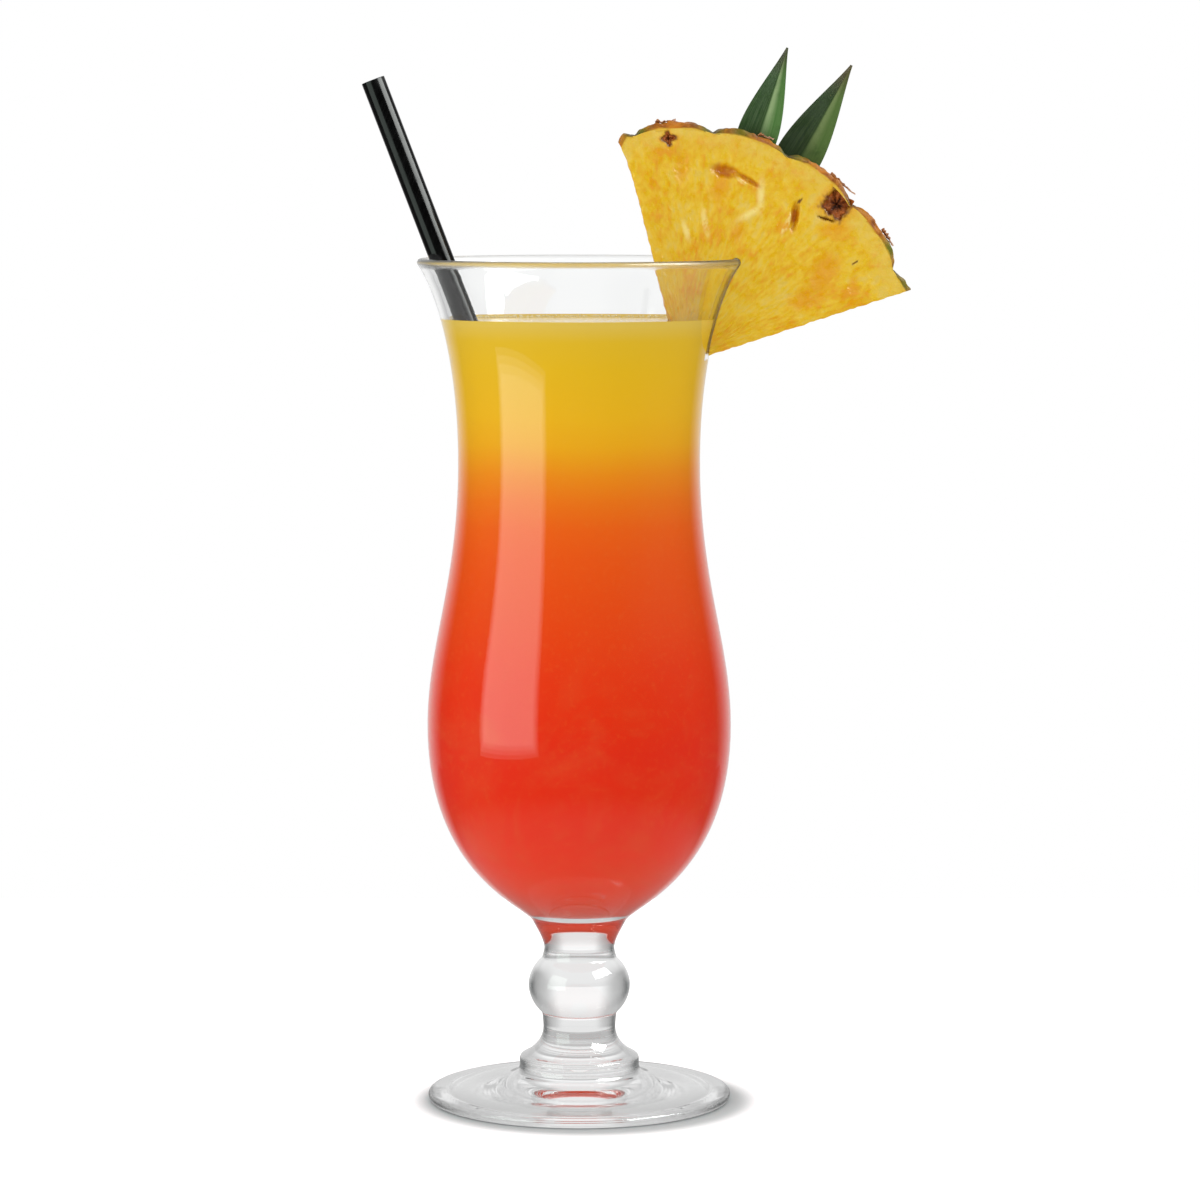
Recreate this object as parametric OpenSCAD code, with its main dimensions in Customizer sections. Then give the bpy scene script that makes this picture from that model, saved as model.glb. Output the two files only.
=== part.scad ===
// Hurricane glass with a layered fruit drink, a drinking straw and a pineapple slice on the rim.
// Millimetres. +Z is up and the origin is the middle of the plane that the foot rests on.
// The straw leans to -X, the pineapple slice sits on the rim at +X and its faces look to -Y and +Y.

/* [Foot] */
// Radius of the foot disc
foot_r = 37.3; // [34:0.1:42]
// Thickness of the disc at its round edge
foot_edge_t = 2.5; // [1.8:0.1:3.2]
// Inner radius of the flat ring that the glass rests on
rest_r = 32; // [27:0.5:33]
// Height of the hollow under the foot at its middle
hollow_h = 1.6; // [0.4:0.1:2.4]
// Radius of the step ring between disc and stem
ring_r = 14.7; // [14.2:0.1:16]
// Height at which the step ring rises from the disc
ring_z = 8.2; // [6.5:0.1:8.8]
// Height of the foot, up to the stem
foot_h = 11.3; // [10.8:0.1:13]

/* [Stem] */
// Height of the stem between foot and bowl
stem_h = 33.2; // [31:0.1:44]
// Radius of the stem where it stands on the foot
stem_base_r = 13.6; // [12:0.1:13.9]
// Radius of the neck under the knop
lower_neck_r = 8.85; // [7:0.05:9]
// Height of the lower neck above the foot
lower_neck_h = 6.9; // [5:0.1:8]
// Radius of the knop at its widest
knop_r = 12.5; // [11:0.1:15]
// Height of the knop's full oval, of which the necks cut off both ends
knop_h = 20; // [18:0.2:21]
// Height of the knop's middle above the foot
knop_z = 17.1; // [16.2:0.1:18]
// Radius of the collars above and below the knop
collar_r = 9.15; // [9:0.05:10]
// Radius of the neck over the knop
upper_neck_r = 8.6; // [7:0.05:9]
// Height of the upper neck above the foot
upper_neck_h = 26.1; // [25.6:0.1:28]
// Radius of the joint between stem and bowl
joint_r = 11.5; // [9.5:0.1:13]

/* [Bowl] */
// Height of the bowl above the stem
bowl_h = 162.5; // [156:0.5:185]
// Radius of the bowl at the rim
rim_r = 39.4; // [37.5:0.1:43]
// Angle of the flare at the rim from upright
rim_flare = 36; // [26:1:42]
// Radius of the waist
waist_r = 29.5; // [27:0.1:31]
// Height of the waist above the stem
waist_h = 113.4; // [106:0.1:118]
// Radius of the belly
belly_r = 37.2; // [34:0.1:42]
// Height of the belly above the stem
belly_h = 48.3; // [44:0.1:56]
// Thickness of the wall
wall_t = 2; // [1.4:0.1:2.6]
// Thickness of the glass under the drink, at the middle
floor_t = 4.5; // [3:0.1:7]

/* [Drink] */
// Height of the rim above the drink
fill_drop = 15; // [11:0.5:20]
// Height of the yellow juice on top
juice_h = 42; // [30:0.5:60]
// Height of the orange layer where juice and syrup have mixed
blend_h = 40; // [20:0.5:55]

/* [Straw] */
// Length of the straw
straw_len = 203; // [185:1:240]
// Outer radius of the straw
straw_r = 2.9; // [2.2:0.1:3.4]
// Thickness of the straw's wall
straw_t = 0.3; // [0.2:0.05:0.6]

/* [Pineapple slice] */
// Radius of the slice, from its point to the top of a fruitlet
slice_r = 58.6; // [52:0.2:64]
// Thickness of the slice
slice_t = 13; // [12:0.5:17]
// Angle of the lower cut edge above level
slice_tilt = 18; // [12:1:24]
// Angle between the two cut edges
slice_span = 86.3; // [80:0.1:92]
// How far the slit reaches down the wall below the rim
slit_drop = 24; // [19:0.1:27]
// Distance along the lower edge from the slice's point to the middle of the slit
slit_inset = 5.2; // [5:0.1:8]
// Radius of the fibrous core
core_r = 10; // [9:0.5:13]
// Thickness of the rind
rind_t = 1.7; // [1:0.1:2.6]
// Depth of the notches between fruitlets
notch_d = 2.2; // [0.6:0.1:3]
// How far the worn upper corner lies inside the round of the rind
corner_d = 2.7; // [0:0.1:4]
// Angle between one fruitlet and the next
fruitlet_a = 19.6; // [16:0.1:24]
// Radius of the largest eye
eye_r = 3.4; // [2:0.1:3.8]
// Depth of an eye's hollow in the face of the slice
eye_d = 4.2; // [2.5:0.1:5]
// Distance from the face of the slice to the woody plug in an eye
eye_sink = 0.9; // [0.5:0.1:1.8]
// Length of a dry bract on the rind
bract_len = 7.5; // [5:0.1:10]
// Width of a bract
bract_w = 5.5; // [3:0.1:8]
// Height to which a bract's tip curls off the rind
bract_lift = 1.9; // [1:0.1:2.6]
// Thickness of a bract at its root
bract_t = 0.8; // [0.5:0.1:1.4]

/* [Leaves] */
// Width of the left leaf
left_leaf_w = 10.6; // [7:0.1:12]
// Length of the left leaf above the rind
left_leaf_len = 22; // [18:0.1:45]
// Angle of the left leaf above level
left_leaf_a = 71.3; // [69:0.1:76]
// Width of the right leaf
right_leaf_w = 12; // [7:0.1:13]
// Length of the right leaf above the rind
right_leaf_len = 25.4; // [18:0.1:45]
// Angle of the right leaf above level
right_leaf_a = 60; // [55:0.1:61]
// Thickness of a leaf
leaf_t = 0.9; // [0.6:0.05:1.2]
// Angle by which each half of a leaf folds up from flat
leaf_fold = 20; // [10:1:24]
// Angle by which a leaf is turned about its midrib
leaf_turn = 7; // [0:1:10]
// Length of leaf tucked into the slice
leaf_tuck = 8.5; // [6:0.1:12]
// How far a leaf's tip curves back
leaf_bend = 2.4; // [0:0.1:4]
// Distance between the midribs of the two leaves through the slice
leaf_spacing = 5.8; // [5.4:0.1:6.2]

/* [Fit] */
// Gap between pieces that come apart
fit_gap = 0.3; // [0.2:0.05:0.4]

/* [Hidden] */

$fn = 96;
// Straight stretches in each curve of an outline
steps = 14;
// Overrun of a cut past the faces that it opens
over = 1;

stem_z = foot_h;
bowl_z = stem_z + stem_h;
waist_z = bowl_z + waist_h;
belly_z = bowl_z + belly_h;
rim_z = bowl_z + bowl_h;
floor_z = bowl_z + floor_t;
fill_z = rim_z - fill_drop;
juice_z = fill_z - juice_h;
blend_z = juice_z - blend_h;

// Where each curve's two handles lie between its ends, as shares of the way across and up
under_foot_shares = [[0.1, 0.8], [0.5, 1]];
disc_shares = [[0.47, 0.3], [0.956, 0.263]];
lower_flare_shares = [[0.505, 0.188], [1, 0.507]];
upper_flare_shares = [[0, 0.31], [0.586, 0.676]];
base_shares = [[0.065, 0.079], [1, 0.23]];
belly_shares = [[0, 0.313], [1, 0.536]];
waist_handle_share = 0.475;
rim_handle_share = 0.161;
floor_shares = [[0.627, 0], [1, 0.4]];
leaf_edge_shares = [[0.3, 0], [0.75, 0.78]];
// Width of a leaf's tip as a share of its width, and how much of its thickness is lost there
leaf_tip_share = 0.05;
leaf_thin_share = 0.5;
// Where the straw's end stands on the curve of the bowl's inside, from the floor to the belly
straw_seat_share = 0.5;

// A point and a direction on a cubic curve p at t
function on(p, t) = pow(1 - t, 3) * p[0] + 3 * pow(1 - t, 2) * t * p[1]
    + 3 * (1 - t) * t * t * p[2] + pow(t, 3) * p[3];
function along(p, t) = pow(1 - t, 2) * (p[1] - p[0]) + 2 * (1 - t) * t * (p[2] - p[1])
    + t * t * (p[3] - p[2]);
function between(a, b, share) = [a.x + (b.x - a.x) * share.x, a.y + (b.y - a.y) * share.y];
function handles(a, b, shares) = [a, between(a, b, shares[0]), between(a, b, shares[1]), b];
function curve(p) = [for (i = [0:steps]) on(p, i / steps)];
function leftward(d) = [-d.y, d.x] / norm(d);
// The same curve moved to the left of its direction by a distance
function beside(p, distance) = [for (i = [0:steps]) on(p, i / steps) + distance * leftward(along(p, i / steps))];
function backwards(list) = [for (i = [len(list) - 1:-1:0]) list[i]];
function polar(r, a) = [r * cos(a), r * sin(a)];

// Bowl outline: base, neck of the belly and flare, with a round lip at the rim
lip_r = wall_t / 2;
lip = [rim_r - lip_r, rim_z - lip_r];
lip_side = [cos(rim_flare), -sin(rim_flare)];
lip_down = [-sin(rim_flare), -cos(rim_flare)];
base_curve = handles([joint_r, bowl_z], [belly_r, belly_z], base_shares);
belly_curve = handles([belly_r, belly_z], [waist_r, waist_z], belly_shares);
flare_curve = [
    [waist_r, waist_z],
    [waist_r, waist_z + waist_handle_share * (rim_z - waist_z)],
    lip + lip_r * lip_side + rim_handle_share * (rim_z - waist_z) * lip_down,
    lip + lip_r * lip_side];
floor_curve = handles([0, floor_z], [belly_r - wall_t, belly_z], floor_shares);
lip_arc = [for (i = [1:steps - 1]) lip + polar(lip_r, 180 * i / steps - rim_flare)];
inner_flare = beside(flare_curve, wall_t);
inside_wall = concat(curve(floor_curve), beside(belly_curve, wall_t), inner_flare);

// Straw: its end stands on the inside of the bowl and it leans until it meets the flare
seat = on(floor_curve, straw_seat_share)
    + 2 * fit_gap * leftward(along(floor_curve, straw_seat_share));
function lean_past(p) = atan2(p.y - seat.y, -p.x - seat.x)
    - acos(-(2 * straw_r + fit_gap) / norm([-p.x - seat.x, p.y - seat.y]));
straw_lean = min([for (p = concat(inner_flare, lip_arc)) lean_past(p)]);
straw_end = seat - straw_r * [cos(straw_lean), sin(straw_lean)];

// Slit of the slice: straight, and wide enough for the bent and flared wall all the way out
slit_z = rim_z - slit_drop;
fine_steps = 60;
flare_walls = [for (i = [0:fine_steps]) let (q = on(flare_curve, i / fine_steps),
    d = leftward(along(flare_curve, i / fine_steps))) [q, q + wall_t * d]];
slit_walls = [for (w = flare_walls) if (w[0].y > slit_z) w];
slit_lean = atan2(slit_walls[len(slit_walls) - 1][0].x - slit_walls[0][0].x,
    slit_walls[len(slit_walls) - 1][0].y - slit_walls[0][0].y);
slit_up = [sin(slit_lean), cos(slit_lean)];
slit_across = [cos(slit_lean), -sin(slit_lean)];
function bend_back(r) = r - sqrt(r * r - slice_t * slice_t / 4);
slit_outer = fit_gap + max([for (w = slit_walls) w[0] * slit_across]);
slit_inner = min([for (w = slit_walls) (w[1] - [bend_back(w[1].x), 0]) * slit_across]) - fit_gap;
slit_top = lip * slit_up + lip_r + fit_gap;
slit_mid = (slit_inner + slit_outer) / 2;
slit_mouth = slit_mid * slit_across + (slit_z - slit_mid * slit_across.y) / slit_up.y * slit_up;
apex = slit_mouth - polar(slit_inset, slice_tilt);

// Edges of the slice seen from its point: the rind is notched between fruitlets and
// the upper corner flares out, by a few degrees and only near the rind
first_notch_a = 82.7;
corner_a = 2.6;
corner_power = 12;
slice_end_a = slice_tilt + slice_span;
function left_a(r) = slice_end_a + corner_a * pow(r / slice_r, corner_power);
function rind_r(a) = slice_r - corner_d * max(0, a - slice_end_a) / corner_a
    - notch_d * pow(1 - abs(sin(180 * (a - first_notch_a) / fruitlet_a)), 2);
arc_steps = 44;
arc_angles = [for (i = [0:arc_steps]) slice_tilt + (left_a(slice_r) - slice_tilt) * i / arc_steps];
rind_edge = [for (a = arc_angles) polar(rind_r(a), a)];
flesh_edge = [for (a = arc_angles) polar(rind_r(a) - rind_t, a)];
core_steps = 12;
core_edge = [for (i = [0:core_steps])
    polar(core_r, slice_tilt + (left_a(core_r) - slice_tilt) * i / core_steps)];
left_edge_shares = [0.87, 0.8, 0.65, 0.4];
left_edge = [for (share = left_edge_shares) polar(share * slice_r, left_a(share * slice_r))];

left_leaf_y = leaf_t - leaf_spacing / 2;
right_leaf_y = leaf_t + leaf_spacing / 2;

// Eyes, as angle, distance from the point and radius, the last two as shares of slice_r and
// eye_r, and the face that each one opens in: -1 looks to -Y and 1 to +Y
eye_shares = [[93.2, 0.935, 0.5, -1], [47.5, 0.915, 1, -1], [76, 0.92, 0.75, 1], [34, 0.93, 0.6, 1]];
// Angles of the dry bracts
bract_angles = [95, 49, 32.5];

module turned(outline) {
    rotate_extrude() polygon(outline);
}

// Draws a flat outline in the plane of the slice, with its thickness along Y
module upright(thickness) {
    rotate([90, 0, 0]) linear_extrude(thickness, center = true) children();
}

// Moves the origin to the slice's point, and +X along the slice at angle a, out to radius r
module from_apex(a, r) {
    translate([apex.x, 0, apex.y]) rotate([0, -a, 0]) translate([r, 0, 0]) children();
}

module foot() {
    edge_r = foot_edge_t / 2;
    ring_round = ring_r - stem_base_r;
    edge_top = [foot_r - edge_r, foot_edge_t];
    edge = [for (i = [0:steps]) edge_top - [0, edge_r] + polar(edge_r, 180 * i / steps - 90)];
    ring = [for (i = [0:steps]) [stem_base_r, foot_h - ring_round] + polar(ring_round, 90 * i / steps)];
    outline = concat(
        backwards(curve(handles([rest_r, 0], [0, hollow_h], under_foot_shares))),
        edge,
        curve(handles(edge_top, [ring_r, ring_z], disc_shares)),
        ring,
        [[0, foot_h]]);
    color([0.86, 0.9, 0.92, 0.5]) turned(outline);
}

module stem() {
    collar_a = acos(collar_r / knop_r);
    knop = [for (i = [-steps:steps])
        [knop_r * cos(collar_a * i / steps), stem_z + knop_z + knop_h / 2 * sin(collar_a * i / steps)]];
    outline = concat(
        [[0, stem_z]],
        curve(handles([stem_base_r, stem_z], [lower_neck_r, stem_z + lower_neck_h], lower_flare_shares)),
        knop,
        curve(handles([upper_neck_r, stem_z + upper_neck_h], [joint_r, bowl_z], upper_flare_shares)),
        [[0, bowl_z]]);
    color([0.84, 0.89, 0.92, 0.5]) turned(outline);
}

module bowl() {
    outline = concat(
        [[0, bowl_z]],
        curve(base_curve),
        curve(belly_curve),
        curve(flare_curve),
        lip_arc,
        backwards(inside_wall));
    color([0.88, 0.93, 0.95, 0.35]) turned(outline);
}

module straw_bar(r, below, length) {
    translate([straw_end.x, 0, straw_end.y]) rotate([0, -straw_lean, 0])
        translate([0, 0, -below]) cylinder(r = r, h = length);
}

// The part of the drink between two heights, without the room taken by straw and slice
module drink(from_z, to_z) {
    corner = fit_gap / sin((left_a(0) - slice_tilt) / 2);
    difference() {
        intersection() {
            turned(concat(inside_wall, [[0, rim_z]]));
            translate([0, 0, from_z]) cylinder(r = belly_r, h = to_z - from_z);
        }
        straw_bar(straw_r + fit_gap, fit_gap, straw_len);
        from_apex((slice_tilt + left_a(0)) / 2, -corner) upright(slice_t + 2 * fit_gap)
            polygon([[0, 0],
                polar(slice_r, (slice_tilt - left_a(0)) / 2),
                polar(slice_r, (left_a(0) - slice_tilt) / 2)]);
    }
}

module juice_layer() {
    color([0.88, 0.69, 0.12]) drink(juice_z, fill_z);
}

module blended_layer() {
    color([0.9, 0.4, 0.06]) drink(blend_z, juice_z);
}

module syrup_layer() {
    color([0.87, 0.17, 0.06]) drink(floor_z, blend_z);
}

module straw() {
    color([0.05, 0.05, 0.05]) difference() {
        straw_bar(straw_r, 0, straw_len);
        straw_bar(straw_r - straw_t, over, straw_len + 2 * over);
    }
}

module rim_slit() {
    upright(slice_t + 2 * over) polygon([
        slit_inner * slit_across + (slit_top - 2 * slit_drop) * slit_up,
        slit_outer * slit_across + (slit_top - 2 * slit_drop) * slit_up,
        slit_outer * slit_across + slit_top * slit_up,
        slit_inner * slit_across + slit_top * slit_up]);
}

// Section across a leaf with its midrib at the origin: both halves fold up from flat towards -Y,
// the left one less than the right. X is across the leaf and Y through it
function leaf_section(half_w, t) =
    let (right = polar(1, -leaf_fold - leaf_turn),
        left = polar(1, 180 + leaf_fold - leaf_turn),
        right_back = leftward(right) * t / 2,
        left_back = leftward(-left) * t / 2,
        mid_back = (right_back + left_back) / (1 + leftward(right) * leftward(-left)))
    [half_w * right + right_back, mid_back, half_w * left + left_back,
        half_w * left - left_back, -mid_back, half_w * right - right_back];

// Moves the origin to a leaf's midrib where it leaves the rind, with +Z along the leaf
module at_leaf(a, y) {
    from_apex(a, rind_r(a)) translate([0, y, 0]) rotate([0, 90, 0]) children();
}

// A tapering blade: straight in the slice, then curved back by leaf_bend at its tip
module leaf(a, w, length, y) {
    edge = curve(handles([0, w / 2], [length, leaf_tip_share * w / 2], leaf_edge_shares));
    rows = concat([[-leaf_tuck, w / 2]], edge);
    sides = 6;
    points = [for (row = rows) let (out = max(0, row.x) / length)
        for (q = leaf_section(row.y, leaf_t * (1 - leaf_thin_share * out)))
            [q.x, q.y + leaf_bend * out * out, row.x]];
    last = sides * (len(rows) - 1);
    walls = [for (i = [0:len(rows) - 2]) for (j = [0:sides - 1]) let (k = (j + 1) % sides)
        each [[sides * i + j, sides * (i + 1) + k, sides * i + k],
            [sides * i + j, sides * (i + 1) + j, sides * (i + 1) + k]]];
    section_halves = [[0, 1, 4], [0, 4, 5], [1, 2, 3], [1, 3, 4]];
    root_cap = section_halves;
    tip_cap = [for (f = section_halves) [for (v = [2, 1, 0]) last + f[v]]];
    at_leaf(a, y) polyhedron(points, concat(walls, root_cap, tip_cap));
}

module leaf_room(a, w, y) {
    at_leaf(a, y) translate([0, 0, -leaf_tuck - fit_gap])
        linear_extrude(2 * leaf_tuck) polygon(leaf_section(w / 2 + fit_gap, leaf_t + 2 * fit_gap));
}

module left_leaf() {
    color([0.25, 0.48, 0.18]) leaf(left_leaf_a, left_leaf_w, left_leaf_len, left_leaf_y);
}

module right_leaf() {
    color([0.2, 0.4, 0.17]) leaf(right_leaf_a, right_leaf_w, right_leaf_len, right_leaf_y);
}

module leaf_rooms() {
    leaf_room(left_leaf_a, left_leaf_w, left_leaf_y);
    leaf_room(right_leaf_a, right_leaf_w, right_leaf_y);
}

// An eye's woody plug, or with sink 0 and an overrun the whole hollow
module eye(place, sink, overrun) {
    from_apex(place[0], place[1] * slice_r) rotate([90 * -place[3], 0, 0])
        translate([0, 0, slice_t / 2 - eye_d])
            cylinder(r = place[2] * eye_r, h = eye_d - sink + overrun);
}

module eye_hollows() {
    for (place = eye_shares) eye(place, 0, over);
}

module in_slice_frame(thickness) {
    from_apex(0, 0) upright(thickness) children();
}

module slice_flesh() {
    color([0.9, 0.74, 0.26]) difference() {
        in_slice_frame(slice_t) polygon(concat(flesh_edge, left_edge, backwards(core_edge)));
        rim_slit();
        leaf_rooms();
        eye_hollows();
    }
}

module slice_core() {
    color([0.93, 0.82, 0.45]) difference() {
        in_slice_frame(slice_t) polygon(concat([[0, 0]], core_edge));
        rim_slit();
    }
}

module slice_rind() {
    color([0.45, 0.47, 0.14]) difference() {
        in_slice_frame(slice_t) polygon(concat(rind_edge, backwards(flesh_edge)));
        leaf_rooms();
        eye_hollows();
    }
}

module slice_eyes() {
    color([0.3, 0.15, 0.06]) for (place = eye_shares) eye(place, eye_sink, 0);
}

// One pointed bract that lies along the rind and lifts at its tip
module bract(a) {
    root = bract_len / 2;
    from_apex(a, rind_r(a)) intersection() {
        upright(bract_w) polygon([[-notch_d, root], [bract_t, root - bract_t],
            [bract_lift, -root], [-notch_d, 0]]);
        rotate([0, 90, 0]) linear_extrude(2 * (notch_d + bract_lift), center = true)
            polygon([[-root, bract_w / 2], [-root, -bract_w / 2], [0, -bract_w / 2],
                [root, 0], [0, bract_w / 2]]);
    }
}

module slice_bracts() {
    color([0.6, 0.4, 0.27]) difference() {
        for (a = bract_angles) bract(a);
        in_slice_frame(slice_t + 2 * over) polygon(concat(rind_edge, [[0, 0]]));
    }
}

bowl();
stem();
foot();
juice_layer();
blended_layer();
syrup_layer();
straw();
slice_flesh();
slice_core();
slice_rind();
slice_eyes();
slice_bracts();
left_leaf();
right_leaf();
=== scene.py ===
"""Looks of a hurricane glass with a layered fruit drink, a straw and a pineapple slice on its rim.

Sizes in the classes are millimetres and the meshes are metres. +Z is up, the origin is the middle of
the plane that the foot rests on, the straw leans to -X and the faces of the slice look to -Y and +Y.
"""

from __future__ import annotations

import logging
import math
from dataclasses import dataclass, field
from enum import Enum
from typing import Any, Callable, Iterable, Sequence

import bmesh
import bpy
import numpy as np
from bpy.types import Material, Mesh, Node, NodeSocket, NodeTree, Object
from mathutils import Matrix, Vector, noise

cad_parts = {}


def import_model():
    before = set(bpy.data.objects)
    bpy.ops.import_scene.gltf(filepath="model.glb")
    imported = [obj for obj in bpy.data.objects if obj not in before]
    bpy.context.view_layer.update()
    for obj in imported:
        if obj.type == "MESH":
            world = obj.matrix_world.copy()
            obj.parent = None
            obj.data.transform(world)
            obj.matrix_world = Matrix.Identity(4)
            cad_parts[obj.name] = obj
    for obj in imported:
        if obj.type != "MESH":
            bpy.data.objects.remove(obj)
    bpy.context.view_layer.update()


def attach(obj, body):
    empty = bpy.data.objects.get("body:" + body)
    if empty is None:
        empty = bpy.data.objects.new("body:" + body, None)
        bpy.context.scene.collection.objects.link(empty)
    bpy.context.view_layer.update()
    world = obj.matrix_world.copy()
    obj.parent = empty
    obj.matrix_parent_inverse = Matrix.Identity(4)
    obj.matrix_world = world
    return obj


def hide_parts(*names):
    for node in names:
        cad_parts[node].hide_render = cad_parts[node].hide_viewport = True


LOG = logging.getLogger("hurricane_glass")
MM = 0.001

Point = tuple[float, float]
Colour = tuple[float, float, float, float]
Grid = np.ndarray


class Body(Enum):
    """The bodies that move against each other."""

    GLASS = "glass"
    STRAW = "straw"
    SLICE = "pineapple_slice"
    LEFT_LEAF = "left_leaf"
    RIGHT_LEAF = "right_leaf"


def paint(red: float, green: float, blue: float) -> Colour:
    """Turn a colour as a screen shows it into the linear values of a shader.

    Args:
        red: Red from 0 to 255.
        green: Green from 0 to 255.
        blue: Blue from 0 to 255.

    Returns:
        The linear colour with full alpha.
    """
    levels = [level / 255 for level in (red, green, blue)]
    linear = [s / 12.92 if s <= 0.04045 else ((s + 0.055) / 1.055) ** 2.4 for s in levels]
    return (linear[0], linear[1], linear[2], 1.0)


def grey(level: float) -> Colour:
    """Return the grey of that linear level."""
    return (level, level, level, 1.0)


WHITE = grey(1.0)


# Outlines


def handles(start: Point, end: Point, shares: Sequence[Point]) -> list[Point]:
    """Place a cubic curve's two handles as shares of the way across and up.

    Args:
        start: First end of the curve.
        end: Other end of the curve.
        shares: Share across and share up of each handle.

    Returns:
        The four control points.
    """
    middle = [
        (start[0] + (end[0] - start[0]) * s[0], start[1] + (end[1] - start[1]) * s[1]) for s in shares
    ]
    return [start, *middle, end]


def cubic(points: Sequence[Point], steps: int = 60, offset: float = 0.0) -> list[Point]:
    """Walk along a cubic curve, or beside it.

    Args:
        points: The four control points.
        steps: Number of straight stretches.
        offset: Distance to the left of the direction of travel.

    Returns:
        The points along the curve.
    """
    p = np.array(points, float)
    t = np.linspace(0, 1, steps + 1)[:, None]
    at = (1 - t) ** 3 * p[0] + 3 * (1 - t) ** 2 * t * p[1] + 3 * (1 - t) * t**2 * p[2] + t**3 * p[3]
    way = (1 - t) ** 2 * (p[1] - p[0]) + 2 * (1 - t) * t * (p[2] - p[1]) + t**2 * (p[3] - p[2])
    left = np.stack([-way[:, 1], way[:, 0]], 1) / np.linalg.norm(way, axis=1)[:, None]
    return [(float(x), float(z)) for x, z in at + offset * left]


def arc(centre: Point, radius: float, first: float, last: float, steps: int) -> list[Point]:
    """Return points along a circle, from a first to a last angle in degrees."""
    angles = [math.radians(first + (last - first) * i / steps) for i in range(steps + 1)]
    return [(centre[0] + radius * math.cos(a), centre[1] + radius * math.sin(a)) for a in angles]


def evenly(points: Sequence[Point], spacing: Callable[[float, float], float]) -> list[Point]:
    """Place points along an outline at a spacing that may change with the place.

    Args:
        points: The outline.
        spacing: The wished distance to the next point, from a place's radius and height.

    Returns:
        The new points, with the same ends.
    """
    p = np.array(points, float)
    run = np.concatenate([[0], np.cumsum(np.linalg.norm(np.diff(p, axis=0), axis=1))])
    places, here = [0.0], 0.0
    while True:
        here += spacing(float(np.interp(here, run, p[:, 0])), float(np.interp(here, run, p[:, 1])))
        if here > run[-1] - 0.1:
            break
        places.append(here)
    places.append(float(run[-1]))
    return [(float(np.interp(s, run, p[:, 0])), float(np.interp(s, run, p[:, 1]))) for s in places]


def soften(points: Sequence[Point], passes: int) -> list[Point]:
    """Melt the corners of an outline a little, as fire polishing does.

    Args:
        points: The outline, whose ends stay.
        passes: How often each point moves towards its neighbours.

    Returns:
        The smoothed outline.
    """
    p = np.array(points, float)
    for _ in range(passes):
        p[1:-1] = 0.25 * p[:-2] + 0.5 * p[1:-1] + 0.25 * p[2:]
    return [(float(x), float(z)) for x, z in p]


# Node trees


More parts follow.
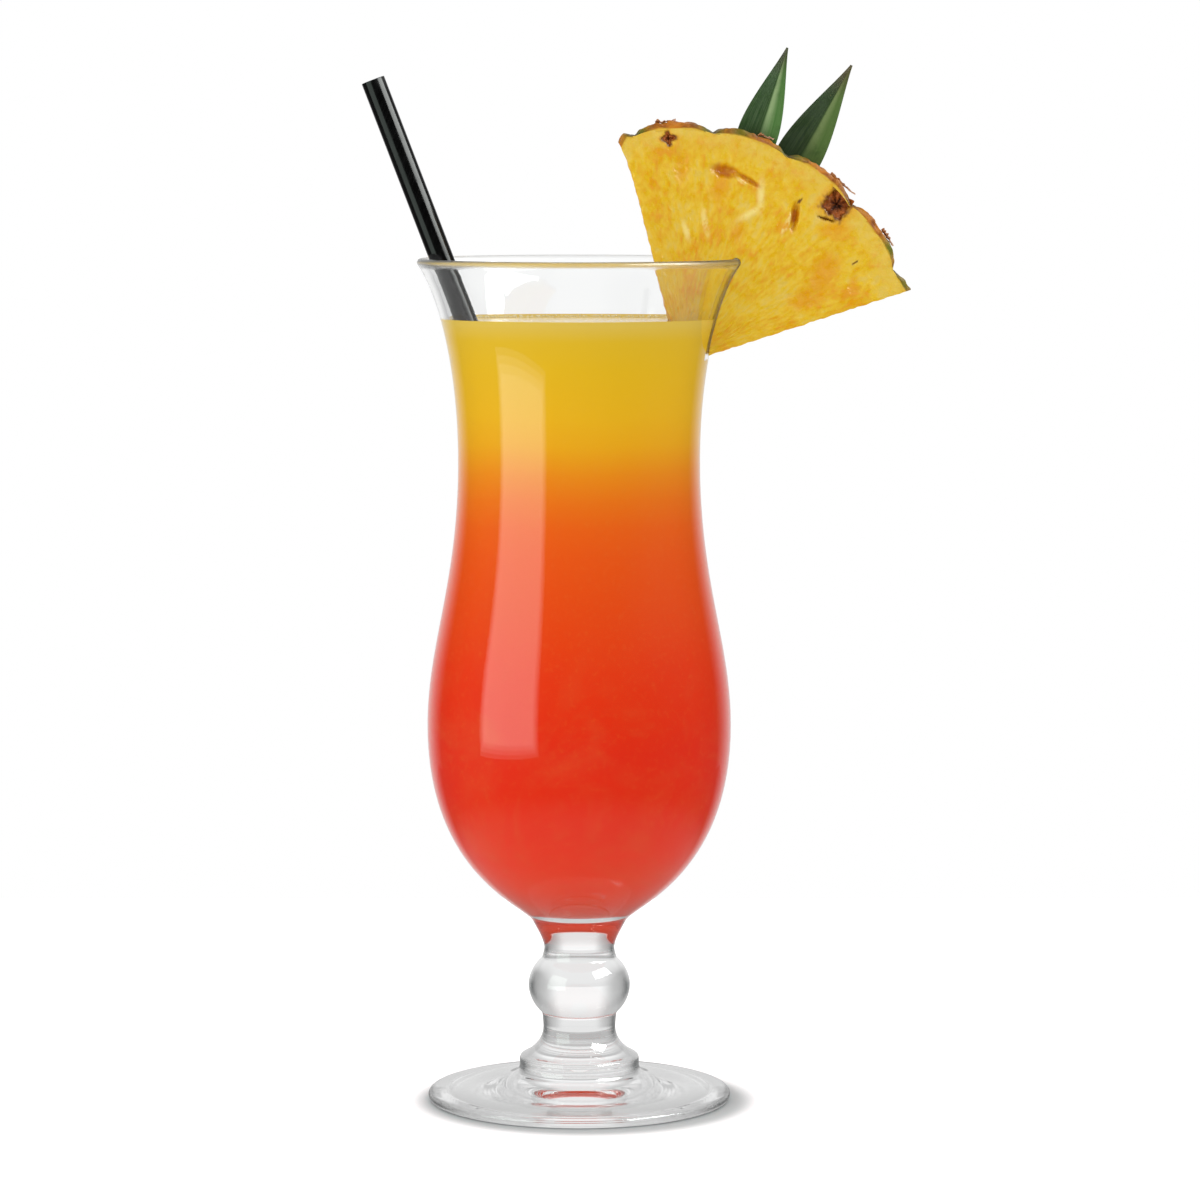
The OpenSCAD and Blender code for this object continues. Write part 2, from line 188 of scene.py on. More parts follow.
class Graph:
    """Adds nodes to a tree, each with its links, in one call."""

    def __init__(self, tree: NodeTree) -> None:
        """Keep the tree that nodes are added to."""
        self.tree = tree

    def add(self, kind: str, inputs: dict[Any, Any] | None = None, **settings: Any) -> Node:
        """Add a node.

        Args:
            kind: Blender's name for the node's type.
            inputs: Constants or sockets, by the input's name or number.
            settings: Values of the node's own settings.

        Returns:
            The new node.
        """
        node = self.tree.nodes.new(kind)
        for name, value in settings.items():
            setattr(node, name, value)
        for key, value in (inputs or {}).items():
            if isinstance(value, NodeSocket):
                self.tree.links.new(value, node.inputs[key])
            else:
                node.inputs[key].default_value = value
        return node

    def math(self, operation: str, first: Any, second: Any = 0.0, third: Any = 0.0) -> NodeSocket:
        """Return the result of a Math node on up to three numbers or sockets."""
        return self.add("ShaderNodeMath", {0: first, 1: second, 2: third}, operation=operation).outputs[0]

    def times(self, first: Any, second: Any) -> NodeSocket:
        """Return the product of two numbers or sockets."""
        return self.math("MULTIPLY", first, second)

    def centred(self, noise_value: Any) -> NodeSocket:
        """Return noise from 0 to 1 moved to lie round 0."""
        return self.math("SUBTRACT", noise_value, 0.5)

    def vector(self, operation: str, first: Any, second: Any = (0.0, 0.0, 0.0)) -> NodeSocket:
        """Return the vector result of a Vector Math node."""
        return self.add("ShaderNodeVectorMath", {0: first, 1: second}, operation=operation).outputs[0]

    def stretch(
        self, value: Any, low: float, high: float, to_low: float = 0.0, to_high: float = 1.0
    ) -> NodeSocket:
        """Change one range of values smoothly into another, and clamp what lies outside it.

        Args:
            value: Number or socket that is changed.
            low: Value that becomes to_low.
            high: Value that becomes to_high.
            to_low: Result at low.
            to_high: Result at high.

        Returns:
            The changed value.
        """
        node = self.add(
            "ShaderNodeMapRange",
            {"Value": value, 1: low, 2: high, 3: to_low, 4: to_high},
            interpolation_type="SMOOTHSTEP",
        )
        return node.outputs[0]

    def mix(self, share: Any, first: Any, second: Any) -> NodeSocket:
        """Return a mix of two colours, of which share 1 is all of the second."""
        return self.add("ShaderNodeMix", {0: share, 6: first, 7: second}, data_type="RGBA").outputs[2]

    def ramp(self, value: Any, stops: Sequence[tuple[float, Colour]]) -> NodeSocket:
        """Turn a value into a colour.

        Args:
            value: Number or socket from 0 to 1.
            stops: Value and colour of each stop, in order.

        Returns:
            The colour.
        """
        node = self.add("ShaderNodeValToRGB", {0: value})
        bar = node.color_ramp.elements
        for index, (place, colour) in enumerate(stops):
            stop = bar[index] if index < 2 else bar.new(place)
            stop.position, stop.color = place, colour
        return node.outputs[0]

    def noise(
        self, place: Any, scale: Any, detail: float = 2.0, roughness: float = 0.5, distortion: float = 0.0
    ) -> NodeSocket:
        """Add smooth noise.

        Args:
            place: Where the noise is read.
            scale: Noise cells in a metre.
            detail: How many finer layers are added.
            roughness: How strong the finer layers are.
            distortion: How far the noise swirls.

        Returns:
            The noise from 0 to 1.
        """
        inputs = {"Vector": place, "Scale": scale, "Detail": detail}
        inputs |= {"Roughness": roughness, "Distortion": distortion}
        return self.add("ShaderNodeTexNoise", inputs).outputs[0]

    def attribute(self, name: str, output: str = "Fac") -> NodeSocket:
        """Return the number, or with output "Vector" the vector, that the mesh holds under a name."""
        return self.add("ShaderNodeAttribute", attribute_name=name).outputs[output]

    def parts(self, vector: Any) -> Any:
        """Return the three coordinates of a vector."""
        return self.add("ShaderNodeSeparateXYZ", {0: vector}).outputs

    def blend(self, share: Any, first: Any, second: Any) -> NodeSocket:
        """Return a mix of two shaders, of which share 1 is all of the second."""
        return self.add("ShaderNodeMixShader", {0: share, 1: first, 2: second}).outputs[0]

    def light(self, kind: str, strength: Any, colour: Any = WHITE) -> NodeSocket:
        """Return a shader that gives light: a world's "Background" or a surface's "Emission"."""
        return self.add(f"ShaderNode{kind}", {0: colour, 1: strength}).outputs[0]

    def by_ray(self, camera: Any, through: Any, mirrored: Any, plain: Any) -> NodeSocket:
        """Choose a shader by the ray that meets it.

        Args:
            camera: What the camera sees.
            through: What shows through glass.
            mirrored: What shows in mirrors.
            plain: What lights all other surfaces.

        Returns:
            The chosen shader.
        """
        path = self.add("ShaderNodeLightPath").outputs
        other = self.blend(path["Is Glossy Ray"], plain, mirrored)
        other = self.blend(path["Is Transmission Ray"], other, through)
        return self.blend(path["Is Camera Ray"], other, camera)


class Finish(Graph):
    """A material with one Principled shader, ready for its colours and relief."""

    def __init__(self, name: str, **plain: Any) -> None:
        """Start the material.

        Args:
            name: Name of the finish.
            plain: Constants of the shader, with _ for a space in the socket's name.
        """
        self.material = bpy.data.materials.new(name)
        self.material.use_nodes = True
        super().__init__(self.material.node_tree)
        self.tree.nodes.clear()
        self.shader = self.add("ShaderNodeBsdfPrincipled")
        for key, value in plain.items():
            self.shader.inputs[key.replace("_", " ")].default_value = value
        self.output = self.add("ShaderNodeOutputMaterial", {0: self.shader.outputs[0]})
        self.place = self.add("ShaderNodeTexCoord").outputs["Object"]

    def feed(self, name: str, value: NodeSocket) -> None:
        """Link a socket to the shader's input of that name."""
        self.tree.links.new(value, self.shader.inputs[name])

    def show(self, shader: NodeSocket) -> None:
        """Let the surface show this shader."""
        self.tree.links.new(shader, self.output.inputs[0])

    def relief(self, height: Any, depth_mm: float, strength: float) -> None:
        """Give the surface a relief, whose height of 1 is depth_mm and of which a share shows."""
        inputs = {"Height": height, "Distance": depth_mm * MM, "Strength": strength}
        self.feed("Normal", self.add("ShaderNodeBump", inputs).outputs[0])

    def grouped(self, group: NodeTree, **inputs: Any) -> Node:
        """Place a shared node group with this finish's own values."""
        return self.add("ShaderNodeGroup", inputs, node_tree=group)


class Maker(Graph):
    """A Geometry Nodes tree with named inputs that turns a start mesh into a finished one."""

    def __init__(self, name: str, inputs: dict[str, str]) -> None:
        """Start the tree.

        Args:
            name: Name of the tree.
            inputs: Socket type of each named input.
        """
        super().__init__(bpy.data.node_groups.new(name, "GeometryNodeTree"))
        face = self.tree.interface
        face.new_socket("Geometry", in_out="INPUT", socket_type="NodeSocketGeometry")
        self.keys: dict[str, str] = {}
        for label, kind in {**inputs, "Finish": "NodeSocketMaterial"}.items():
            self.keys[label] = face.new_socket(label, in_out="INPUT", socket_type=kind).identifier
        face.new_socket("Geometry", in_out="OUTPUT", socket_type="NodeSocketGeometry")
        self.given = self.add("NodeGroupInput").outputs
        self.result = self.add("NodeGroupOutput")

    def close(self, geometry: NodeSocket) -> None:
        """End the tree with real geometry, smooth faces and one material.

        Args:
            geometry: What the tree has made.
        """
        real = self.add("GeometryNodeRealizeInstances", {0: geometry})
        smooth = self.add("GeometryNodeSetShadeSmooth", {0: real.outputs[0]})
        finish = self.given["Finish"]
        dressed = self.add("GeometryNodeSetMaterial", {0: smooth.outputs[0], "Material": finish})
        self.tree.links.new(dressed.outputs[0], self.result.inputs[0])

    def make(self, name: str, start: Mesh, finish: Material, **values: Any) -> Object:
        """Run the tree and keep its result as a plain mesh.

        Args:
            name: Name of the new object.
            start: Mesh that the tree starts from.
            finish: Material of the result.
            values: Values of the named inputs.

        Returns:
            The finished object.
        """
        holder = bpy.data.objects.new(f"{name}_start", start)
        bpy.context.collection.objects.link(holder)
        modifier = holder.modifiers.new("maker", "NODES")
        modifier.node_group = self.tree
        for label, value in {**values, "Finish": finish}.items():
            modifier[self.keys[label]] = value
        mesh = baked(holder)
        mesh.name = name
        return placed(name, mesh)


def baked(source: Object) -> Mesh:
    """Turn an object with modifiers into a plain mesh and delete the object.

    Args:
        source: The object, which is used up.

    Returns:
        The mesh with its modifiers applied.
    """
    depsgraph = bpy.context.evaluated_depsgraph_get()
    mesh = bpy.data.meshes.new_from_object(
        source.evaluated_get(depsgraph), preserve_all_data_layers=True, depsgraph=depsgraph
    )
    bpy.data.objects.remove(source)
    return mesh


def placed(name: str, mesh: Mesh) -> Object:
    """Put a finished mesh into the scene, at the origin and unturned.

    Args:
        name: Name of the object.
        mesh: Its mesh.

    Returns:
        The object.
    """
    piece = bpy.data.objects.new(name, mesh)
    bpy.context.collection.objects.link(piece)
    return piece


def outline_mesh(name: str, points: Iterable[Point]) -> Mesh:
    """Make a start mesh of loose points.

    Args:
        name: Name of the mesh.
        points: Radius and height in millimetres.

    Returns:
        The mesh in metres.
    """
    mesh = bpy.data.meshes.new(name)
    mesh.from_pydata([(r * MM, 0.0, z * MM) for r, z in points], [], [])
    return mesh


def face_outward(work: bmesh.types.BMesh) -> None:
    """Turn a closed shape's faces over if they look inwards."""
    if work.calc_volume(signed=True) < 0:
        bmesh.ops.reverse_faces(work, faces=work.faces)


def closed_mesh(
    name: str,
    points: np.ndarray,
    faces: Iterable[Sequence[int]],
    values: dict[str, np.ndarray] | None = None,
    merge_mm: float = 0.001,
) -> Mesh:
    """Make a closed mesh with outward faces and values at its points.

    Args:
        name: Name of the mesh.
        points: Places in millimetres, one row each.
        faces: Corners of each face.
        values: Numbers or vectors at the points, by attribute name.
        merge_mm: Distance below which points become one.

    Returns:
        The mesh in metres.
    """
    mesh = bpy.data.meshes.new(name)
    mesh.from_pydata((points * MM).tolist(), [], [list(f) for f in faces])
    for label, data in (values or {}).items():
        kind, key = ("FLOAT_VECTOR", "vector") if data.ndim == 2 else ("FLOAT", "value")
        layer = mesh.attributes.new(label, kind, "POINT")
        layer.data.foreach_set(key, np.ascontiguousarray(data, np.float32).ravel())
    work = bmesh.new()
    work.from_mesh(mesh)
    bmesh.ops.remove_doubles(work, verts=work.verts, dist=merge_mm * MM)
    bmesh.ops.recalc_face_normals(work, faces=work.faces)
    face_outward(work)
    work.to_mesh(mesh)
    work.free()
    return mesh


def shade(mesh: Mesh, finish: Material, sharp_degrees: float = 50.0) -> None:
    """Give a mesh its finish and smooth shading that keeps its sharp edges.

    Args:
        mesh: The mesh.
        finish: Its only material.
        sharp_degrees: Angle between faces from which an edge stays sharp.
    """
    mesh.materials.clear()
    mesh.materials.append(finish)
    mesh.shade_smooth()
    mesh.set_sharp_from_angle(angle=math.radians(sharp_degrees))


def prism(name: str, corners: Sequence[Sequence[float]], run: Sequence[float]) -> Object:
    """Make a straight bar from a flat outline, to carve with.

    Args:
        name: Name of the bar.
        corners: The outline's corners in millimetres.
        run: How far and which way the outline is drawn out, in millimetres.

    Returns:
        The bar.
    """
    start = np.array(corners, float)
    points = np.vstack([start, start + np.array(run, float)])
    n = len(start)
    sides = [[i, (i + 1) % n, n + (i + 1) % n, n + i] for i in range(n)]
    mesh = closed_mesh(name, points, [list(range(n)), list(range(n, 2 * n)), *sides])
    return placed(name, mesh)


def carved(piece: Object, bars: Sequence[Object]) -> Object:
    """Cut bars out of a piece.

    Args:
        piece: The piece, which is used up.
        bars: What is cut away, which is used up too.

    Returns:
        A new piece of the same name.
    """
    name = piece.name
    for bar in bars:
        cut = piece.modifiers.new("cut", "BOOLEAN")
        cut.operation, cut.solver, cut.object = "DIFFERENCE", "EXACT", bar
    mesh = baked(piece)
    for bar in bars:
        bpy.data.objects.remove(bar)
    mesh.name = name
    return placed(name, mesh)


def sheet_faces(rows: int, columns: int, start: int = 0, wrap: bool = False) -> list[list[int]]:
    """List the faces of a sheet of points that lie row by row.

    Args:
        rows: Number of rows of points.
        columns: Number of points in each row.
        start: Number of the first point.
        wrap: True if the last column joins the first.

    Returns:
        Four corners for each face.
    """
    across = columns if wrap else columns - 1
    return [
        [
            start + i * columns + j,
            start + (i + 1) * columns + j,
            start + (i + 1) * columns + (j + 1) % columns,
            start + i * columns + (j + 1) % columns,
        ]
        for i in range(rows - 1)
        for j in range(across)
    ]


def sheet_rim(rows: int, columns: int) -> list[int]:
    """List the points round the edge of a sheet of points that lie row by row.

    Args:
        rows: Number of rows of points.
        columns: Number of points in each row.

    Returns:
        The numbers of the points, once round.
    """
    return [
        *[i * columns for i in range(rows)],
        *[(rows - 1) * columns + j for j in range(1, columns)],
        *[i * columns + columns - 1 for i in range(rows - 2, -1, -1)],
        *range(columns - 2, 0, -1),
    ]


def rough(x: Any, y: Any, z: Any) -> Grid:
    """Work out smooth noise at many places.

    Args:
        x: First coordinate of the places, in noise cells.
        y: Second coordinate.
        z: Third coordinate.

    Returns:
        Values from -1 to 1, in the shape that the coordinates share.
    """
    x, y, z = np.broadcast_arrays(x, y, z)
    flat = [noise.noise(p) for p in zip(x.ravel().tolist(), y.ravel().tolist(), z.ravel().tolist())]
    return np.array(flat).reshape(x.shape)


def fade(value: Any, low: float, high: float) -> Grid:
    """Return a smooth step from 0 at low to 1 at high."""
    t = np.clip((np.asarray(value, float) - low) / (high - low), 0, 1)
    return t * t * (3 - 2 * t)


class Revolver(Maker):
    """Turns an outline about the upright axis."""

    def __init__(self) -> None:
        """Build the tree: a grid whose rows take the outline's points, each turned a step on."""
        super().__init__("turned_about_axis", {"Segments": "NodeSocketInt"})
        outline = self.given["Geometry"]
        count = self.add("GeometryNodeAttributeDomainSize", {0: outline}).outputs["Point Count"]
        columns = self.math("ADD", self.given["Segments"], 1)
        grid = self.add("GeometryNodeMeshGrid", {"Vertices X": columns, "Vertices Y": count}).outputs[0]
        index = self.add("GeometryNodeInputIndex").outputs[0]
        turn = self.math("FLOOR", self.math("DIVIDE", self.math("ADD", index, 0.5), count))
        row = self.math("SUBTRACT", index, self.times(turn, count))
        place = self.add("GeometryNodeInputPosition").outputs[0]
        sample = self.add(
            "GeometryNodeSampleIndex", {0: outline, "Value": place, "Index": row}, data_type="FLOAT_VECTOR"
        )
        parts = self.parts(sample.outputs[0])
        step = self.math("DIVIDE", math.tau, self.given["Segments"])
        angle = self.times(turn, step)
        turned = self.add(
            "ShaderNodeCombineXYZ",
            {
                0: self.times(parts[0], self.math("COSINE", angle)),
                1: self.times(parts[0], self.math("SINE", angle)),
                2: parts[2],
            },
        )
        moved = self.add("GeometryNodeSetPosition", {0: grid, "Position": turned.outputs[0]})
        joined = self.add("GeometryNodeMergeByDistance", {0: moved.outputs[0], "Distance": 0.002 * MM})
        self.close(joined.outputs[0])

    def turn(self, name: str, outline: Sequence[Point], finish: Material, segments: int) -> Object:
        """Turn an outline into a closed piece with outward faces.

        Args:
            name: Name of the piece.
            outline: Radius and height in millimetres.
            finish: Material of the piece.
            segments: Number of facets around.

        Returns:
            The piece.
        """
        piece = self.make(name, outline_mesh(name, outline), finish, Segments=segments)
        work = bmesh.new()
        work.from_mesh(piece.data)
        face_outward(work)
        work.to_mesh(piece.data)
        work.free()
        return piece


# The photograph


@dataclass(frozen=True)
class View:
    """Where the photograph was taken from, in millimetres and degrees."""

    eye: tuple[float, float, float] = (5.1, -1110.0, 233.44)
    pitch: float = 5.6525
    focal_px: float = 4560.45
    middle_px: float = 600.0
    sensor: float = 36.0

    def point(self, pixel: Point, depth: float) -> Point:
        """Find the place that a pixel shows.

        Args:
            pixel: Pixel of the photograph, across and down.
            depth: The place's Y.

        Returns:
            The place's X and Z.
        """
        across = (pixel[0] - self.middle_px) / self.focal_px
        up = (self.middle_px - pixel[1]) / self.focal_px
        cos, sin = math.cos(math.radians(self.pitch)), math.sin(math.radians(self.pitch))
        reach = (depth - self.eye[1]) / (cos + up * sin)
        return self.eye[0] + reach * across, self.eye[2] + reach * (up * cos - sin)

    def camera(self) -> None:
        """Make the camera and let the scene use it."""
        lens = bpy.data.cameras.new("camera")
        lens.sensor_width = self.sensor
        lens.lens = self.focal_px / (2 * self.middle_px) * self.sensor
        lens.clip_end = 10.0
        camera = bpy.data.objects.new("camera", lens)
        camera.location = [c * MM for c in self.eye]
        camera.rotation_euler = (math.radians(90 - self.pitch), 0.0, 0.0)
        bpy.context.collection.objects.link(camera)
        bpy.context.scene.camera = camera


# Finishes


def wear_group() -> NodeTree:
    """Build the shared group for fine smears and specks, which several finishes use.

    Returns:
        The group, which gives a roughness between Low and High.
    """
    tree = bpy.data.node_groups.new("smears_and_specks", "ShaderNodeTree")
    face = tree.interface
    face.new_socket("Place", in_out="INPUT", socket_type="NodeSocketVector")
    for label in ("Smear Scale", "Speck Scale", "Low", "High"):
        face.new_socket(label, in_out="INPUT", socket_type="NodeSocketFloat")
    face.new_socket("Roughness", in_out="OUTPUT", socket_type="NodeSocketFloat")
    graph = Graph(tree)
    given = graph.add("NodeGroupInput").outputs
    smear = graph.noise(given["Place"], given["Smear Scale"], 3.0, 0.55, 0.6)
    speck = graph.noise(given["Place"], given["Speck Scale"], 2.0)
    mask = graph.math("ADD", graph.stretch(smear, 0.45, 0.72), graph.stretch(speck, 0.66, 0.74, 0.0, 0.35))
    span = graph.math("SUBTRACT", given["High"], given["Low"])
    result = graph.math("MULTIPLY_ADD", mask, span, given["Low"])
    graph.add("NodeGroupOutput", {"Roughness": result})
    return tree


@dataclass(frozen=True)
class ClearGlass:
    """Pressed and blown soda-lime glass, fire polished."""

    ior: float = 1.5
    tint: Colour = (0.996, 0.998, 0.996, 1.0)
    cool_tint: Colour = (0.988, 0.994, 0.992, 1.0)
    # The edge colour is painted shade at the glass's edges, standing in for the dark room seen there.
    edge: Colour = (0.07, 0.075, 0.075, 1.0)
    wall_edge_shade: float = 0.08
    wall_z: Point = (45.0, 60.0)
    lip_z: Point = (205.1, 205.9)
    lip_roughness: float = 0.3
    wave_scale: float = 38.0
    wave_mm: float = 0.12
    lamp_share: float = 0.9
    foot_share: float = 0.5
    foot_top: float = 14.0

    def material(self, wear: NodeTree) -> Material:
        """Build the glass, which lets lamps through to what is behind it and has painted shade at its edges.

        Args:
            wear: The shared group for smears and specks.

        Returns:
            The material.
        """
        look = Finish("clear_glass", IOR=self.ior, Transmission_Weight=1.0, Roughness=0.0)
        waves = look.noise(look.place, self.wave_scale, 1.0)
        tint = look.mix(look.stretch(waves, 0.2, 0.8), self.tint, self.cool_tint)
        # Painted shade: the base colour turns to the dark edge colour where the surface turns away from the
        # view, in full on the thick stem and foot and a little on the bowl.
        facing = look.add("ShaderNodeLayerWeight", {"Blend": 0.5}).outputs["Facing"]
        height = look.parts(look.place)[2]
        steep = look.stretch(look.attribute("steep"), 0.35, 0.9)
        low, high = self.wall_z
        thick = look.stretch(height, high * MM, low * MM, self.wall_edge_shade, 1.0)
        edge = look.times(look.times(look.stretch(facing, 0.3, 0.66), steep), thick)
        look.feed("Base Color", look.mix(edge, tint, self.edge))
        smears = look.grouped(
            wear, Place=look.place, **{"Smear Scale": 30.0, "Speck Scale": 700.0, "Low": 0.0, "High": 0.02}
        )
        low, high = self.lip_z
        lip = look.stretch(height, low * MM, high * MM, 0.0, self.lip_roughness)
        look.feed("Roughness", look.math("MAXIMUM", smears.outputs["Roughness"], lip))
        look.relief(waves, self.wave_mm, 0.3)
        foot = look.stretch(height, self.foot_top * MM, self.foot_top / 2 * MM)
        share = look.mix(foot, grey(self.lamp_share), grey(self.foot_share))
        open_way = look.add("ShaderNodeBsdfTransparent", {0: share}).outputs[0]
        path = look.add("ShaderNodeLightPath").outputs
        first = look.blend(path["Is Diffuse Ray"], look.shader.outputs[0], open_way)
        look.show(look.blend(path["Is Shadow Ray"], first, open_way))
        return look.material


@dataclass(frozen=True)
class LayeredDrink:
    """Cloudy fruit juice over red syrup, which mix on the way down."""

    stops: tuple[tuple[float, Colour], ...] = (
        # The lowest stops are lighter than the red above them: painted light that makes up for the shade at
        # the bottom of the bowl.
        (50.0, paint(255, 76, 36)),
        (55.0, paint(255, 66, 24)),
        (62.0, paint(246, 54, 12)),
        (70.0, paint(238, 46, 6)),
        (80.0, paint(234, 42, 3)),
        (90.0, paint(233, 40, 2)),
        (108.0, paint(236, 54, 3)),
        (124.0, paint(237, 74, 4)),
        (136.0, paint(239, 86, 6)),
        (143.0, paint(240, 97, 8)),
        (150.0, paint(240, 117, 10)),
        (156.0, paint(240, 140, 12)),
        (163.0, paint(240, 170, 14)),
        (170.0, paint(239, 182, 16)),
        (181.0, paint(234, 186, 20)),
        (188.0, paint(230, 187, 34)),
        (192.0, paint(228, 194, 80)),
    )
    veil: Colour = paint(226, 104, 48)
    pulp: Colour = paint(244, 200, 90)
    pulp_scale: float = 900.0
    veil_scale: float = 42.0
    veil_z: Point = (90.0, 130.0)
    swirl_scale: float = 26.0
    waver: float = 5.0
    still_z: Point = (172.0, 183.0)
    from_glass: float = 0.893
    wall_shine: float = 0.1
    wall_roughness: Point = (0.35, 0.55)
    surface_shine: float = 0.4
    surface_roughness: Point = (0.12, 0.3)
    mirror_roughness: float = 0.02

    def material(self, name: str, at_glass: bool) -> Material:
        """Build the drink, whose colour follows its height.

        Args:
            name: Name of the finish.
            at_glass: True where it touches glass and mirrors what meets it flat, False where it meets air.

        Returns:
            The material.
        """
        shine = self.wall_shine if at_glass else self.surface_shine
        look = Finish(name, IOR=1.34, Specular_IOR_Level=shine)
        height = look.parts(look.place)[2]
        low, high = self.stops[0][0], self.stops[-1][0]
        wide = look.vector("MULTIPLY", look.place, (1.0, 1.0, 0.5))
        swirl = look.centred(look.noise(wide, self.swirl_scale, 3.0, 0.5, 0.8))
        even = look.stretch(height, self.still_z[1] * MM, self.still_z[0] * MM)
        lifted = look.math("MULTIPLY_ADD", look.times(swirl, even), self.waver * MM, height)
        share = look.add("ShaderNodeMapRange", {"Value": lifted, 1: low * MM, 2: high * MM}).outputs[0]
        colour = look.ramp(share, [((z - low) / (high - low), c) for z, c in self.stops])
        veil = look.stretch(look.noise(look.place, self.veil_scale, 4.0, 0.6, 1.4), 0.42, 0.72, 0.0, 0.2)
        deep = look.stretch(height, self.veil_z[1] * MM, self.veil_z[0] * MM)
        colour = look.mix(look.times(veil, deep), colour, self.veil)
        pulp = look.noise(look.place, self.pulp_scale, 2.0)
        flecked = look.mix(look.stretch(pulp, 0.5, 0.85, 0.0, 0.035), colour, self.pulp)
        look.feed("Base Color", flecked)
        smooth, dull = self.wall_roughness if at_glass else self.surface_roughness
        look.feed("Roughness", look.stretch(pulp, 0.3, 0.8, smooth, dull))
        look.relief(pulp, 0.03, 0.3)
        if not at_glass:
            return look.material
        mirrored = look.add("ShaderNodeFresnel", {"IOR": self.from_glass}).outputs[0]
        mirror = look.add("ShaderNodeBsdfGlossy", {"Roughness": self.mirror_roughness}).outputs[0]
        look.show(look.blend(mirrored, look.shader.outputs[0], mirror))
        return look.material


@dataclass(frozen=True)
class Froth:
    """Fine pale bubbles where the juice meets the glass."""

    colour: Colour = paint(240, 228, 184)
    shaded: Colour = paint(232, 212, 140)
    tone_scale: float = 1400.0

    def material(self) -> Material:
        """Build the bubbles' skin.

        Returns:
            The material.
        """
        look = Finish("juice_froth", Roughness=0.25, IOR=1.34)
        tone = look.noise(look.place, self.tone_scale, 1.0)
        look.feed("Base Color", look.mix(tone, self.colour, self.shaded))
        return look.material


@dataclass(frozen=True)
class BlackPlastic:
    """Glossy black extruded plastic."""

    colour: Colour = paint(5, 5, 5)
    drawn: Colour = paint(12, 12, 12)
    line_scale: float = 2600.0
    line_mm: float = 0.012

    def material(self, wear: NodeTree, lean: float) -> Material:
        """Build the plastic.

        Args:
            wear: The shared group for smears and specks.
            lean: The straw's lean in degrees, along which the drawing lines run.

        Returns:
            The material.
        """
        look = Finish("black_plastic", IOR=1.49, Specular_IOR_Level=0.22)
        turned = look.add(
            "ShaderNodeMapping", {0: look.place, "Rotation": (0.0, math.radians(-lean), 0.0)}
        ).outputs[0]
        drawn = look.vector("MULTIPLY", turned, (1.0, 1.0, 0.01))
        lines = look.noise(drawn, self.line_scale, 2.0)
        look.feed("Base Color", look.mix(look.stretch(lines, 0.4, 0.7), self.colour, self.drawn))
        smears = look.grouped(
            wear, Place=turned, **{"Smear Scale": 120.0, "Speck Scale": 2500.0, "Low": 0.14, "High": 0.24}
        )
        look.feed("Roughness", smears.outputs["Roughness"])
        look.relief(lines, self.line_mm, 0.6)
        return look.material


@dataclass(frozen=True)
class Flesh:
    """Ripe pineapple cut across its fibres."""

    deep: Colour = paint(224, 156, 1)
    gold: Colour = paint(224, 176, 10)
    warm: Colour = paint(228, 188, 34)
    pale: Colour = paint(224, 190, 74)
    # Cream of the raised flecks, some of which are painted highlights on glints and lit edges.
    cream: Colour = paint(240, 218, 130)
    core: Colour = paint(226, 190, 50)
    # Painted shade inside the carved hollows.
    hollow: Colour = paint(194, 112, 6)
    stain: Colour = paint(104, 48, 10)
    strand_scale: float = 1000.0
    clump_scale: float = 300.0
    wet_scale: float = 500.0
    relief_mm: float = 0.22

    def material(self) -> Material:
        """Build the flesh from the marks and the grain that its mesh carries.

        Returns:
            The material.
        """
        look = Finish(
            "pineapple_flesh",
            IOR=1.38,
            Subsurface_Weight=0.2,
            Subsurface_Radius=(1.0, 0.7, 0.25),
            Subsurface_Scale=0.8 * MM,
            Specular_IOR_Level=0.45,
        )
        grain = look.attribute("grain", "Vector")
        fine = look.vector("MULTIPLY", grain, (1.0, 1.0, 0.8))
        coarse = look.vector("MULTIPLY", grain, (1.0, 1.0, 0.75))
        strands = look.noise(fine, self.strand_scale, 3.0, 0.6, 0.4)
        clumps = look.noise(coarse, self.clump_scale, 4.0, 0.6, 0.6)
        tone = look.attribute("tone")
        tone = look.math("MULTIPLY_ADD", look.centred(clumps), 0.95, tone)
        tone = look.math("MULTIPLY_ADD", look.centred(strands), 0.34, tone)
        stops = ((0.0, self.deep), (0.35, self.gold), (0.65, self.warm), (1.0, self.pale))
        base = look.ramp(tone, stops)
        wisps = look.stretch(look.math("ADD", clumps, strands), 0.7, 1.2, 0.45, 1.0)
        for name, colour, most in (("core", self.core, 0.5), ("rim", self.pale, wisps)):
            share = look.times(look.attribute(name), most)
            base = look.mix(share, base, colour)
        ragged = look.stretch(clumps, 0.26, 0.5)
        for name, colour, most in (
            ("amber", self.deep, 0.85),
            # Flecks: partly cream fibres, partly painted highlights on glints and lit edges.
            ("fleck", self.cream, 0.9),
            # The hollow mark is painted shade in the carved hollows.
            ("hollow", self.hollow, 1.0),
            ("stain", self.stain, 0.95),
        ):
            share = look.times(look.attribute(name), most)
            if name != "stain":
                share = look.times(share, ragged)
            base = look.mix(share, base, colour)
        look.feed("Base Color", base)
        wet = look.noise(look.place, self.wet_scale, 2.0)
        look.feed("Roughness", look.stretch(wet, 0.35, 0.65, 0.22, 0.6))
        look.relief(look.math("ADD", strands, look.times(clumps, 1.8)), self.relief_mm, 0.85)
        return look.material


